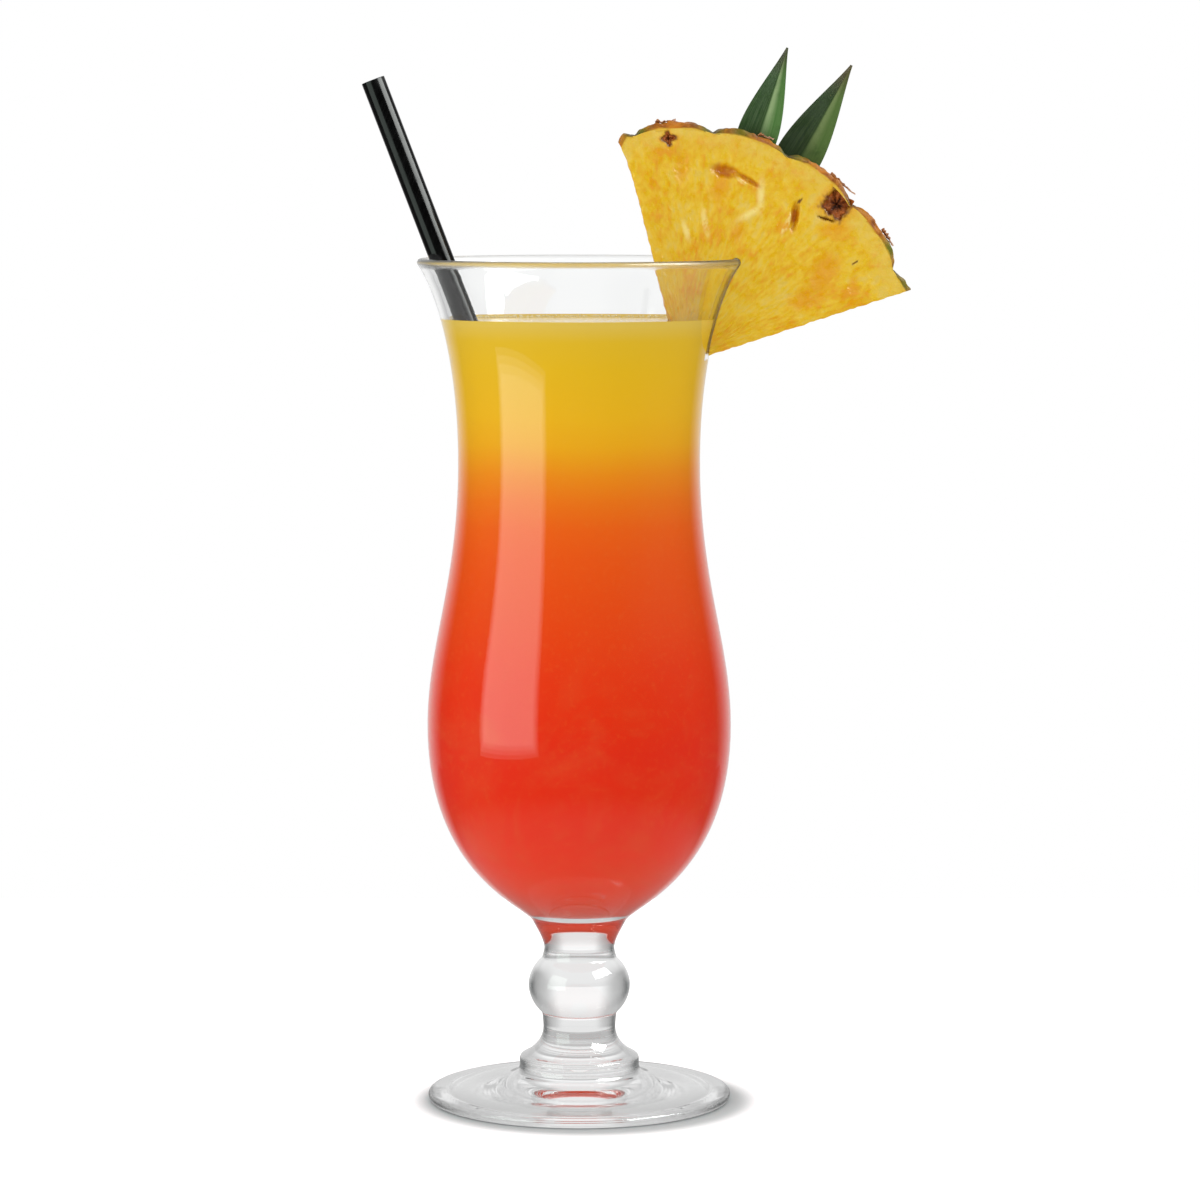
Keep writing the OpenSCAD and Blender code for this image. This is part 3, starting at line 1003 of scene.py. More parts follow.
@dataclass(frozen=True)
class Rind:
    """Thin pineapple rind: ripe skin that is green in the seams, over pale flesh."""

    brown: Colour = paint(138, 70, 6)
    orange: Colour = paint(200, 122, 8)
    green: Colour = paint(88, 112, 6)
    dark: Colour = paint(86, 58, 14)
    flesh: Colour = paint(220, 178, 50)
    patch_scale: float = 260.0
    pore_scale: float = 1500.0
    broad_scale: float = 90.0
    relief_mm: float = 0.25

    def material(self) -> Material:
        """Build the rind from the marks that its mesh carries.

        Returns:
            The material.
        """
        look = Finish(
            "pineapple_rind",
            Subsurface_Weight=0.2,
            Subsurface_Radius=(1.0, 0.6, 0.2),
            Subsurface_Scale=0.8 * MM,
            Specular_IOR_Level=0.2,
        )
        patches = look.noise(look.place, self.patch_scale, 4.0, 0.6, 0.5)
        pores = look.noise(look.place, self.pore_scale, 2.0)
        skin = look.mix(look.stretch(patches, 0.35, 0.62), self.brown, self.orange)
        green = look.math("ADD", look.attribute("green"), look.stretch(patches, 0.6, 0.8, 0.0, 0.3))
        skin = look.mix(look.math("MINIMUM", green, 1.0), skin, self.green)
        seam = look.times(look.attribute("seam"), 0.8)
        skin = look.mix(seam, skin, self.dark)
        skin = look.mix(look.stretch(pores, 0.62, 0.72, 0.0, 0.5), skin, self.dark)
        broad = look.centred(look.noise(look.place, self.broad_scale, 1.0))
        cover = look.math("MULTIPLY_ADD", look.centred(patches), 0.6, look.attribute("skin"))
        cover = look.math("ADD", broad, cover)
        look.feed("Base Color", look.mix(look.stretch(cover, 0.22, 0.56), self.flesh, skin))
        look.feed("Roughness", look.stretch(patches, 0.3, 0.7, 0.42, 0.68))
        look.relief(look.math("ADD", patches, look.times(pores, 0.4)), self.relief_mm, 0.8)
        return look.material


@dataclass(frozen=True)
class Woody:
    """Dry brown tissue, for the eyes' plugs and the bracts."""

    name: str
    dark: Colour
    light: Colour
    edge: Colour
    thread_scale: float = 1300.0
    relief_mm: float = 0.15

    def material(self) -> Material:
        """Build the tissue, darkest where the mesh's depth value is highest, which in the eyes' plugs is
        painted shade.

        Returns:
            The material.
        """
        look = Finish(self.name, Specular_IOR_Level=0.3)
        close = look.vector("MULTIPLY", look.place, (1.0, 1.0, 1.8))
        threads = look.noise(close, self.thread_scale, 3.0, 0.6, 0.7)
        depth = look.attribute("depth")
        tone = look.mix(look.stretch(threads, 0.35, 0.7), self.dark, self.light)
        look.feed("Base Color", look.mix(look.math("SUBTRACT", 1.0, depth), tone, self.edge))
        look.feed("Roughness", look.stretch(threads, 0.3, 0.7, 0.5, 0.85))
        look.relief(threads, self.relief_mm, 0.8)
        return look.material


@dataclass(frozen=True)
class LeafGreen:
    """A pineapple leaf, with a paler stripe and close parallel veins, and painted shade and light on the two
    halves of its fold.
    """

    name: str
    # dark and light are the shaded and the lit half of the fold: painted shade and light.
    dark: Colour
    light: Colour
    stripe: Colour
    tip: Colour
    vein_scale: float = 34.0
    mottle_scale: float = 320.0
    relief_mm: float = 0.04

    def material(self) -> Material:
        """Build the leaf from its own across and along values.

        Returns:
            The material.
        """
        look = Finish(self.name, IOR=1.42, Specular_IOR_Level=0.3)
        span = look.attribute("span", "Vector")
        across, along, _ = look.parts(span)
        drawn = look.vector("MULTIPLY", span, (1.0, 0.05, 1.0))
        veins = look.noise(drawn, self.vein_scale, 2.0, 0.6)
        mottle = look.noise(look.place, self.mottle_scale, 3.0, 0.6)
        # Painted shade and light: one half of the fold is dark and the other light, as the key light falls
        # on them. The paler stripe lies on the lit half alone and is partly painted light.
        colour = look.mix(look.stretch(across, -0.1, 0.45), self.dark, self.light)
        stripe = look.times(look.stretch(across, 0.0, 0.16), look.stretch(across, 0.62, 0.2))
        stripe = look.times(stripe, look.stretch(along, 0.02, 0.3, 0.35, 0.85))
        colour = look.mix(stripe, colour, self.stripe)
        colour = look.mix(look.stretch(veins, 0.42, 0.7, 0.0, 0.22), colour, self.stripe)
        colour = look.mix(look.stretch(mottle, 0.5, 0.75, 0.0, 0.3), colour, self.dark)
        colour = look.mix(look.stretch(along, 0.6, 0.98, 0.0, 0.85), colour, self.tip)
        look.feed("Base Color", colour)
        look.feed("Roughness", look.stretch(mottle, 0.3, 0.7, 0.38, 0.55))
        look.relief(veins, self.relief_mm, 0.5)
        return look.material


# Glass and drink


@dataclass
class Glassware:
    """The glass: foot, stem and bowl, which are one piece once they are fused."""

    foot_r: float = 37.3
    foot_edge_t: float = 2.5
    rest_r: float = 32.0
    hollow_h: float = 1.6
    ring_r: float = 14.7
    ring_z: float = 8.2
    foot_h: float = 11.3
    stem_base_r: float = 13.6
    lower_neck: Point = (8.85, 6.9)
    knop_r: float = 12.5
    knop_h: float = 20.0
    knop_z: float = 17.1
    collar_r: float = 9.15
    upper_neck: Point = (8.6, 26.1)
    joint_r: float = 11.5
    bowl_z: float = 44.5
    rim_r: float = 39.4
    rim_z: float = 207.0
    rim_flare: float = 36.0
    waist: Point = (29.5, 157.9)
    belly: Point = (37.2, 92.8)
    wall_t: float = 2.0
    floor_t: float = 4.5
    segments: int = 128
    detailed_z: float = 46.0
    detailed_lip: float = 4.0
    fine_step: float = 0.3
    wide_step: float = 1.1

    def foot_outline(self) -> list[Point]:
        """Draw the foot.

        Returns:
            The outline, from the middle of its underside to the top of its ring.
        """
        edge_r = self.foot_edge_t / 2
        edge_top = (self.foot_r - edge_r, self.foot_edge_t)
        round_r = self.ring_r - self.stem_base_r
        under = cubic(handles((self.rest_r, 0.0), (0.0, self.hollow_h), ((0.1, 0.8), (0.5, 1.0))))
        return [
            *reversed(under),
            *arc((edge_top[0], edge_r), edge_r, -90, 90, 12),
            *cubic(handles(edge_top, (self.ring_r, self.ring_z), ((0.47, 0.3), (0.956, 0.263)))),
            *arc((self.stem_base_r, self.foot_h - round_r), round_r, 0, 90, 10),
        ]

    def stem_outline(self) -> list[Point]:
        """Draw the stem.

        Returns:
            The outline, from the ring to the bowl.
        """
        base = self.foot_h
        turn = math.acos(self.collar_r / self.knop_r)
        lower = (self.lower_neck[0], base + self.lower_neck[1])
        upper = (self.upper_neck[0], base + self.upper_neck[1])
        knop = [
            (self.knop_r * math.cos(turn * s), base + self.knop_z + self.knop_h / 2 * math.sin(turn * s))
            for s in np.linspace(-1, 1, 61)
        ]
        return [
            *cubic(handles((self.stem_base_r, base), lower, ((0.505, 0.188), (1.0, 0.507)))),
            *knop,
            *cubic(handles(upper, (self.joint_r, self.bowl_z), ((0.0, 0.31), (0.586, 0.676)))),
        ]

    def flare(self) -> tuple[list[Point], Point]:
        """Draw the flare.

        Returns:
            The flare's control points and the middle of the lip.
        """
        lip_r = self.wall_t / 2
        lip = (self.rim_r - lip_r, self.rim_z - lip_r)
        cos, sin = math.cos(math.radians(self.rim_flare)), math.sin(math.radians(self.rim_flare))
        end = (lip[0] + lip_r * cos, lip[1] - lip_r * sin)
        rise = self.rim_z - self.waist[1]
        points = [
            self.waist,
            (self.waist[0], self.waist[1] + 0.475 * rise),
            (end[0] - 0.161 * rise * sin, end[1] - 0.161 * rise * cos),
            end,
        ]
        return points, lip

    def neck(self) -> list[Point]:
        """Return the control points of the outside from the belly to the waist."""
        return handles(self.belly, self.waist, ((0.0, 0.313), (1.0, 0.536)))

    def outer_wall(self) -> list[Point]:
        """Return the bowl's outside, from the stem to the lip."""
        base = handles((self.joint_r, self.bowl_z), self.belly, ((0.065, 0.079), (1.0, 0.23)))
        return [*cubic(base), *cubic(self.neck())[1:], *cubic(self.flare()[0])[1:]]

    def inner_wall(self) -> list[Point]:
        """Draw the bowl's inside.

        Returns:
            The outline, from the middle of its floor to the lip.
        """
        seat = (self.belly[0] - self.wall_t, self.belly[1])
        floor = handles((0.0, self.bowl_z + self.floor_t), seat, ((0.627, 0.0), (1.0, 0.4)))
        return [
            *cubic(floor),
            *cubic(self.neck(), offset=self.wall_t)[1:],
            *cubic(self.flare()[0], offset=self.wall_t)[1:],
        ]

    def outline(self) -> list[Point]:
        """Draw the whole glass.

        Returns:
            The outline, from under the foot over the lip down to the floor of the bowl.
        """
        lip = self.flare()[1]
        rounded = arc(lip, self.wall_t / 2, -self.rim_flare, 180 - self.rim_flare, 16)[1:-1]
        whole = [*self.foot_outline(), *self.stem_outline(), *self.outer_wall(), *rounded]
        whole += list(reversed(self.inner_wall()))

        def spacing(r: float, z: float) -> float:
            """Return a close spacing at the foot, stem and rim and a wide one on the walls."""
            close = z < self.detailed_z or z > self.rim_z - self.detailed_lip
            return self.fine_step if close else self.wide_step

        return soften(evenly(whole, spacing), 3)

    def build(self, revolver: Revolver, finish: Material) -> Object:
        """Turn the glass and fit it to its body.

        Args:
            revolver: The tree that turns outlines.
            finish: Clear glass.

        Returns:
            The glass.
        """
        piece = revolver.turn("hurricane_glass", self.outline(), finish, self.segments)
        steep = piece.data.attributes.new("steep", "FLOAT", "POINT")
        for vertex in piece.data.vertices:
            steep.data[vertex.index].value = 1 - abs(vertex.normal.z)
        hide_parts("bowl", "stem", "foot")
        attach(piece, Body.GLASS.value)
        return piece

    def rim_room(self, low: float, room: float, half_turn: float) -> Object:
        """Make a bar as thick as the upper wall and its room, over a part of its round.

        Args:
            low: Height at which the bar starts.
            room: Distance that the bar keeps from the wall.
            half_turn: Degrees to either side of +X that the bar reaches.

        Returns:
            The bar, to carve with.
        """
        flare, lip = self.flare()
        outside = [p for p in cubic(flare, 40, -room) if p[1] > low]
        inside = [p for p in cubic(flare, 40, self.wall_t + room) if p[1] > low]
        over = arc(lip, self.wall_t / 2 + room, -self.rim_flare, 180 - self.rim_flare, 16)[1:-1]
        loop = [*outside, *over, *reversed(inside)]
        turns = np.radians(np.linspace(-half_turn, half_turn, 25))
        points = np.array([(r * math.cos(a), r * math.sin(a), z) for a in turns for r, z in loop])
        count = len(loop)
        ends = [list(range(count)), list(range(len(points) - count, len(points)))]
        mesh = closed_mesh("rim_room", points, sheet_faces(len(turns), count, wrap=True) + ends)
        return placed("rim_room", mesh)


@dataclass
class Drink:
    """The three layers of the drink, with room for the straw and the slice."""

    glass: Glassware
    fill_z: float = 192.0
    juice_z: float = 150.0
    blend_z: float = 110.0
    creep: float = 0.8
    creep_width: float = 2.2
    contact: float = 0.05
    room: float = 0.15
    segments: int = 128

    def wall(self) -> np.ndarray:
        """Draw the glass's inside, a hair into the glass so that drink and glass touch.

        Returns:
            Radius and height of its points, one row each.
        """
        wall = np.array(evenly(self.glass.inner_wall(), lambda r, z: 0.9), float)
        wall[1:, 0] += self.contact
        wall[0, 1] -= self.contact
        return wall

    def layer(self, low: float, high: float) -> list[Point]:
        """Draw the drink between two heights.

        Args:
            low: Lower height.
            high: Upper height.

        Returns:
            The outline, from the axis below to the axis above.
        """
        wall = self.wall()
        top = high + (self.creep if high == self.fill_z else 0.0)

        def radius(z: float) -> float:
            """Return the wall's radius at a height."""
            return float(np.interp(z, wall[:, 1], wall[:, 0]))

        side = [(float(r), float(z)) for r, z in wall if low < z < top]
        floor = [(0.0, low), (radius(low), low)] if low > wall[0, 1] else [(0.0, float(wall[0, 1]))]
        surface = [(radius(top), top)]
        if top > high:
            for step in np.linspace(0.1, 1, 8):
                rise = self.creep * (1 - step) ** 2.4
                surface.append((radius(high) - self.creep_width * step, high + rise))
        surface += [(radius(high) * share, high) for share in (0.8, 0.5, 0.25, 0.0)]
        return [*floor, *side, *surface]

    def build(self, revolver: Revolver, look: LayeredDrink, straw: Straw, fruit: Slice) -> list[Object]:
        """Make the layers and fit them to their body.

        Args:
            revolver: The tree that turns outlines.
            look: The drink's finish.
            straw: The straw that stands in the drink.
            fruit: The slice whose point hangs in the drink.

        Returns:
            The three layers.
        """
        finish = look.material("layered_drink", at_glass=True)
        surface = look.material("drink_surface", at_glass=False)
        heights = {
            "syrup_layer": (0.0, self.blend_z, "red_syrup"),
            "blended_layer": (self.blend_z, self.juice_z, "orange_drink"),
            "juice_layer": (self.juice_z, self.fill_z, "yellow_juice"),
        }
        pieces = []
        for node, (low, high, slot) in heights.items():
            piece = revolver.turn(f"{node}_look", self.layer(low, high), finish, self.segments)
            bars = [straw.bar(self.room)]
            if node == "juice_layer":
                bars.append(fruit.wedge(self.room))
            piece = carved(piece, bars)
            shade(piece.data, finish, 40)
            if high == self.fill_z:
                piece.data.materials.append(surface)
                for face in piece.data.polygons:
                    free = face.normal.z > 0.5 and face.center.z > (high - 0.1) * MM
                    face.material_index = int(free)
            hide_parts(node)
            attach(piece, Body.GLASS.value)
            pieces.append(piece)
        return pieces


class Bubbler(Maker):
    """Scatters small bubbles of mixed sizes over a start mesh."""

    def __init__(self) -> None:
        """Build the tree."""
        numbers = dict.fromkeys(("Density", "Smallest", "Largest"), "NodeSocketFloat")
        super().__init__("bubbles_on_surface", {**numbers, "Seed": "NodeSocketInt"})
        points = self.add(
            "GeometryNodeDistributePointsOnFaces",
            {0: self.given["Geometry"], "Density": self.given["Density"], "Seed": self.given["Seed"]},
        ).outputs[0]
        ball = self.add("GeometryNodeMeshIcoSphere", {"Radius": 1.0, "Subdivisions": 2}).outputs[0]
        size = self.add(
            "FunctionNodeRandomValue",
            {2: self.given["Smallest"], 3: self.given["Largest"], "Seed": self.given["Seed"]},
            data_type="FLOAT",
        ).outputs[1]
        inputs = {"Points": points, "Instance": ball, "Scale": size}
        self.close(self.add("GeometryNodeInstanceOnPoints", inputs).outputs[0])


@dataclass
class FrothRing:
    """The thin ring of froth where the drink meets the glass."""

    drink: Drink
    width: float = 1.6
    rise: float = 0.35
    wall_gap: float = 0.35
    clear_half: float = 8.5
    parts: int = 96
    density: float = 2.4e6
    sizes: Point = (0.12, 0.42)
    seed: int = 11

    def build(self, bubbler: Bubbler, finish: Material) -> Object:
        """Scatter the bubbles and fit them to their body.

        Args:
            bubbler: The tree that scatters them.
            finish: The froth's material.

        Returns:
            The froth.
        """
        wall = self.drink.wall()
        outer = float(np.interp(self.drink.fill_z, wall[:, 1], wall[:, 0])) - self.wall_gap
        rows = []
        for share, height in ((0.0, self.rise), (0.5, 0.12), (1.0, 0.0)):
            radius = outer - share * self.width
            for k in range(self.parts):
                a = math.tau * k / self.parts
                rows.append((radius * math.cos(a), radius * math.sin(a), self.drink.fill_z + height))
        ring = sheet_faces(3, self.parts, wrap=True)
        keep = [face for face in ring if abs(rows[face[0]][1]) > self.clear_half]
        mesh = bpy.data.meshes.new("froth")
        mesh.from_pydata([tuple(c * MM for c in p) for p in rows], [], keep)
        small, large = self.sizes
        sizes = {"Smallest": small * MM, "Largest": large * MM}
        piece = bubbler.make("juice_froth", mesh, finish, Density=self.density, Seed=self.seed, **sizes)
        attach(piece, Body.GLASS.value)
        return piece


# Straw


@dataclass
class Straw:
    """The black straw that leans to the left on the rim."""

    end: Point = (22.697, 60.38)
    lean: float = 20.9388
    length: float = 203.0
    radius: float = 2.9
    wall: float = 0.3
    segments: int = 64

    def matrix(self) -> Matrix:
        """Return the move from upright at the origin to the straw's place."""
        place = Vector((self.end[0] * MM, 0.0, self.end[1] * MM))
        return Matrix.Translation(place) @ Matrix.Rotation(math.radians(-self.lean), 4, "Y")

    def bar(self, room: float) -> Object:
        """Make a solid bar as thick as the straw and its room, to carve with.

        Args:
            room: Distance that the bar keeps from the straw.

        Returns:
            The bar.
        """
        ring = arc((0.0, 0.0), self.radius + room, 0, 360, 48)[:-1]
        bar = prism("straw_room", [(x, y, -room) for x, y in ring], (0.0, 0.0, self.length))
        bar.data.transform(self.matrix())
        return bar

    def build(self, revolver: Revolver, finish: Material) -> Object:
        """Turn the tube, lean it and fit it to its body.

        Args:
            revolver: The tree that turns outlines.
            finish: Black plastic.

        Returns:
            The straw.
        """
        inner, lip = self.radius - self.wall, self.wall / 2
        middle = self.radius - lip
        outer = [(self.radius, float(z)) for z in np.linspace(lip, self.length - lip, 60)]
        inside = [(inner, float(z)) for z in np.linspace(self.length - lip, lip, 60)]
        outline = [
            *outer,
            *arc((middle, self.length - lip), lip, 0, 180, 8)[1:-1],
            *inside,
            *arc((middle, lip), lip, 180, 360, 8)[1:],
        ]
        piece = revolver.turn("black_straw", outline, finish, self.segments)
        piece.data.transform(self.matrix())
        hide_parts("straw")
        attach(piece, Body.STRAW.value)
        return piece


# Pineapple slice


class Mark(Enum):
    """What a mark on the flesh is, by the name of its attribute."""

    # Hollows are carved in and coloured with painted shade.
    HOLLOW = "hollow"
    AMBER = "amber"
    # Flecks are partly cream fibres and partly painted highlights on glints and lit edges.
    FLECK = "fleck"
    STAIN = "stain"


@dataclass(frozen=True)
class Spot:
    """A mark on a face of the slice."""

    mark: Mark
    pixel: Point
    length: float
    width: float
    turn: float
    depth: float = 0.0
    front: bool = True
    soft: float = 0.5


@dataclass(frozen=True)
class Eye:
    """A fruitlet's eye: a hollow with a woody plug, shaped as a star or, without arms, as a square."""

    angle: float
    radius: float
    size: float
    front: bool
    arms: float = 0.0

    @property
    def is_star(self) -> bool:
        """Tell whether the eye has a star's arms."""
        return self.arms > 0

    def edge(self, turn: Grid) -> Grid:
        """Draw the ragged edge.

        Args:
            turn: Directions in radians.

        Returns:
            How far the edge lies in each direction, as a share of the size.
        """
        x, y = np.cos(turn), np.sin(turn)
        jags = 0.24 * rough(x * 1.6, self.angle, y * 1.6) + 0.2 * rough(x * 3.7, self.angle + 9, y * 3.7)
        if self.is_star:
            return 1 + jags + self.arms * (0.9 * np.abs(np.cos(2 * turn - 0.3)) ** 3 - 0.5)
        square = 1.28 / (np.abs(np.cos(turn - 0.15)) + np.abs(np.sin(turn - 0.15)))
        return square + jags * 0.8


@dataclass
class Slice:
    """The quarter slice of pineapple: its flesh, its rind and the plugs of its eyes."""

    apex: Point = (24.579, 181.393)
    radius: float = 58.6
    thickness: float = 13.0
    tilt: float = 18.0
    span: float = 86.3
    rind_t: float = 1.7
    notch: float = 2.2
    soft_notch: float = 0.35
    notch_a: float = 82.7
    fruitlet_a: float = 19.6
    corner_d: float = 2.7
    corner_a: float = 2.6
    core_r: float = 10.0
    slit_low: float = 176.0
    slit_room: float = 0.14
    slit_half_turn: float = 16.0
    eye_depth: float = 4.2
    star_depth: float = 1.5
    bevel: float = 0.35
    edge_wobble: float = 0.22
    rings: int = 175
    rays: int = 225
    layers: int = 22
    rind_rays: int = 420
    rind_columns: int = 40
    rind_layers: int = 5
    plug_rings: int = 16
    plug_rays: int = 72
    view: View = field(default_factory=View)
    eyes: tuple[Eye, ...] = (
        Eye(93.2, 54.6, 1.5, True, arms=0.55),
        Eye(45.8, 54.0, 3.4, True),
        Eye(76.0, 53.9, 2.55, False),
        Eye(34.0, 54.5, 2.04, False),
    )
    spots: tuple[Spot, ...] = (
        Spot(Mark.AMBER, (682, 166), 7.0, 3.0, 88, 0.5, soft=0.8),
        Spot(Mark.HOLLOW, (725, 171), 6.0, 2.6, -14, 1.5, soft=0.6),
        Spot(Mark.AMBER, (721, 184), 8.0, 4.0, 80, 0.3, soft=0.9),
        Spot(Mark.HOLLOW, (749, 180), 5.6, 1.1, -32, 1.0, soft=0.6),
        Spot(Mark.FLECK, (741, 181), 3.0, 0.8, -40, -0.25, soft=0.35),
        Spot(Mark.FLECK, (761, 196), 7.0, 1.6, 88, -0.15, soft=0.9),
        Spot(Mark.FLECK, (750, 214), 6.0, 1.6, 28, -0.15, soft=0.9),
        Spot(Mark.HOLLOW, (795, 216), 5.8, 1.6, 82, 1.8, soft=0.6),
        Spot(Mark.FLECK, (787, 224), 6.0, 1.2, 64, -0.3, soft=0.4),
        Spot(Mark.FLECK, (705, 222), 6.0, 1.2, -80, -0.25, soft=0.8),
        Spot(Mark.FLECK, (686, 231), 4.0, 1.2, -75, -0.2, soft=0.9),
        Spot(Mark.AMBER, (738, 232), 5.0, 2.6, 70, soft=0.9),
        Spot(Mark.AMBER, (824, 276), 12.0, 6.0, 66, 0.35),
        Spot(Mark.AMBER, (853, 285), 4.0, 1.8, 80, 0.2, soft=0.9),
        Spot(Mark.AMBER, (834, 230), 6.0, 3.6, 0, soft=0.9),
        Spot(Mark.AMBER, (808, 299), 9.0, 4.6, 15, 0.2),
        Spot(Mark.STAIN, (826, 219), 4.6, 0.55, -18, 0.7, soft=0.3),
        Spot(Mark.STAIN, (800, 201), 1.6, 0.5, 50, 0.3, soft=0.3),
        Spot(Mark.STAIN, (855, 263), 1.8, 0.3, 35, 0.3, soft=0.3),
        Spot(Mark.AMBER, (700, 176), 8.0, 5.0, 84, 0.4, front=False),
        Spot(Mark.HOLLOW, (735, 200), 4.4, 1.6, 60, 1.1, front=False),
        Spot(Mark.FLECK, (742, 204), 4.6, 0.9, 60, -0.25, front=False),
        Spot(Mark.HOLLOW, (838, 226), 4.0, 1.3, 20, 1.0, front=False),
        Spot(Mark.AMBER, (790, 280), 12.0, 7.0, 40, 0.3, front=False),
        Spot(Mark.FLECK, (770, 236), 5.4, 1.0, 52, -0.2, front=False),
    )
    green_pixels: tuple[Point, ...] = (
        *((636, 132), (711, 133), (742, 134), (786, 156)),
        *((795, 160), (888, 249), (903, 273), (909, 283)),
    )

    def polar(self, radius: Any, angle: Any) -> tuple[Any, Any]:
        """Return X and Z from a distance and an angle in degrees at the slice's point."""
        turn = np.radians(angle)
        return self.apex[0] + radius * np.cos(turn), self.apex[1] + radius * np.sin(turn)

    def angle_of(self, x: float, z: float) -> float:
        """Return the angle in degrees at which a place lies, seen from the slice's point."""
        return math.degrees(math.atan2(z - self.apex[1], x - self.apex[0]))

    def arc_mm(self, angle: Any) -> Any:
        """Return how far round an angle in degrees lies, as an arc through the middle of the flesh."""
        return np.radians(angle) * 0.75 * self.radius

    def left_a(self, radius: Any) -> Any:
        """Return the angle of the left cut edge at a distance."""
        return self.tilt + self.span + self.corner_a * (radius / self.radius) ** 12

    def rind_r(self, angle: Any, share: float = 1.0) -> Any:
        """Work out how far the outside of the rind lies from the slice's point.

        Args:
            angle: Angle in degrees.
            share: Share of the notches' depth.

        Returns:
            The distance.
        """
        corner = self.corner_d * np.maximum(0, angle - self.tilt - self.span) / self.corner_a
        dip = 1 - np.abs(np.sin(np.radians(180 * (angle - self.notch_a) / self.fruitlet_a)))
        return self.radius - corner - share * self.notch * dip**2

    def wedge(self, room: float) -> Object:
        """Make a bar as large as the slice's point and its room, to carve with.

        Args:
            room: Distance that the bar keeps from the slice.

        Returns:
            The bar.
        """
        half = self.span / 2
        back = room / math.sin(math.radians(half))
        middle = math.radians(self.tilt + half)
        tip = (self.apex[0] - back * math.cos(middle), self.apex[1] - back * math.sin(middle))
        corners = [tip]
        for a in (math.radians(self.tilt), math.radians(self.tilt + self.span)):
            corners.append((tip[0] + self.radius * math.cos(a), tip[1] + self.radius * math.sin(a)))
        front = -self.thickness / 2 - room
        return prism("slice_room", [(x, front, z) for x, z in corners], (0.0, 2 * -front, 0.0))

    def spot_share(self, spot: Spot, x: Grid, z: Grid) -> Grid:
        """Work out how much of a spot each place lies in.

        Args:
            spot: The spot.
            x: X of the places.
            z: Z of the places.

        Returns:
            Shares from 0 to 1.
        """
        cx, cz = self.view.point(spot.pixel, -self.thickness / 2)
        turn = math.radians(spot.turn)
        along = (x - cx) * math.cos(turn) + (z - cz) * math.sin(turn)
        aside = -(x - cx) * math.sin(turn) + (z - cz) * math.cos(turn)
        ragged = 0.22 * rough(x * 0.9, spot.pixel[0], z * 0.9)
        far = np.hypot(along / (spot.length / 2), aside / (spot.width / 2)) + ragged
        return 1 - fade(far, 1 - spot.soft, 1 + spot.soft)

    def face(
        self, x: Grid, z: Grid, radius: Grid, angle: Grid, depth: Grid, front: bool
    ) -> tuple[Grid, dict[str, Grid]]:
        """Shape one cut face.

        Args:
            x: X of the points.
            z: Z of the points.
            radius: Distances from the slice's point.
            angle: Angles in degrees.
            depth: Distances below the rind's inside.
            front: True for the face that looks to -Y.

        Returns:
            How far each point lies inside the flat face, and the values that the finish reads.
        """
        side = 0.0 if front else 40.0
        arc_mm = self.arc_mm(angle)
        broad = rough(x * 0.13, side, z * 0.13) + 0.5 * rough(x * 0.28, side + 5, z * 0.28)
        small = rough(arc_mm * 0.85, radius * 0.4, side + 9) + 0.6 * rough(arc_mm * 1.9, radius * 0.9, side)
        band = fade(depth, 6.0, 1.5)
        inward = 0.3 + 0.3 * broad + 0.16 * small * (1 - 0.5 * band)
        values = {mark.value: np.zeros_like(x) for mark in Mark}
        for spot in self.spots:
            if spot.front == front:
                share = self.spot_share(spot, x, z)
                inward = inward + spot.depth * share
                values[spot.mark.value] = np.maximum(values[spot.mark.value], share)
        for eye in self.eyes:
            if eye.front == front:
                cx, cz = self.polar(eye.radius, eye.angle)
                far = np.hypot(x - cx, z - cz) / (eye.size * eye.edge(np.arctan2(z - cz, x - cx)))
                smear = 0.25 * rough(x * 1.3, side, z * 1.3)
                hollow = self.star_depth if eye.is_star else self.eye_depth - 0.4
                inward = inward + hollow * (1 - fade(far, 0.62, 0.96))
                values["stain"] = np.maximum(values["stain"], 1 - fade(far + smear, 0.85, 1.3))
                values["amber"] = np.maximum(values["amber"], 0.8 * (1 - fade(far + smear, 1.0, 1.9)))
        values["tone"] = np.clip(0.5 + 0.5 * broad + 0.5 * small, 0, 1)
        values["rim"] = np.clip(band * (0.8 + 0.6 * rough(x * 0.3, side, z * 0.3)), 0, 1)
        values["core"] = 1 - fade(radius, self.core_r - 1.2, self.core_r + 1.5)
        return inward, values

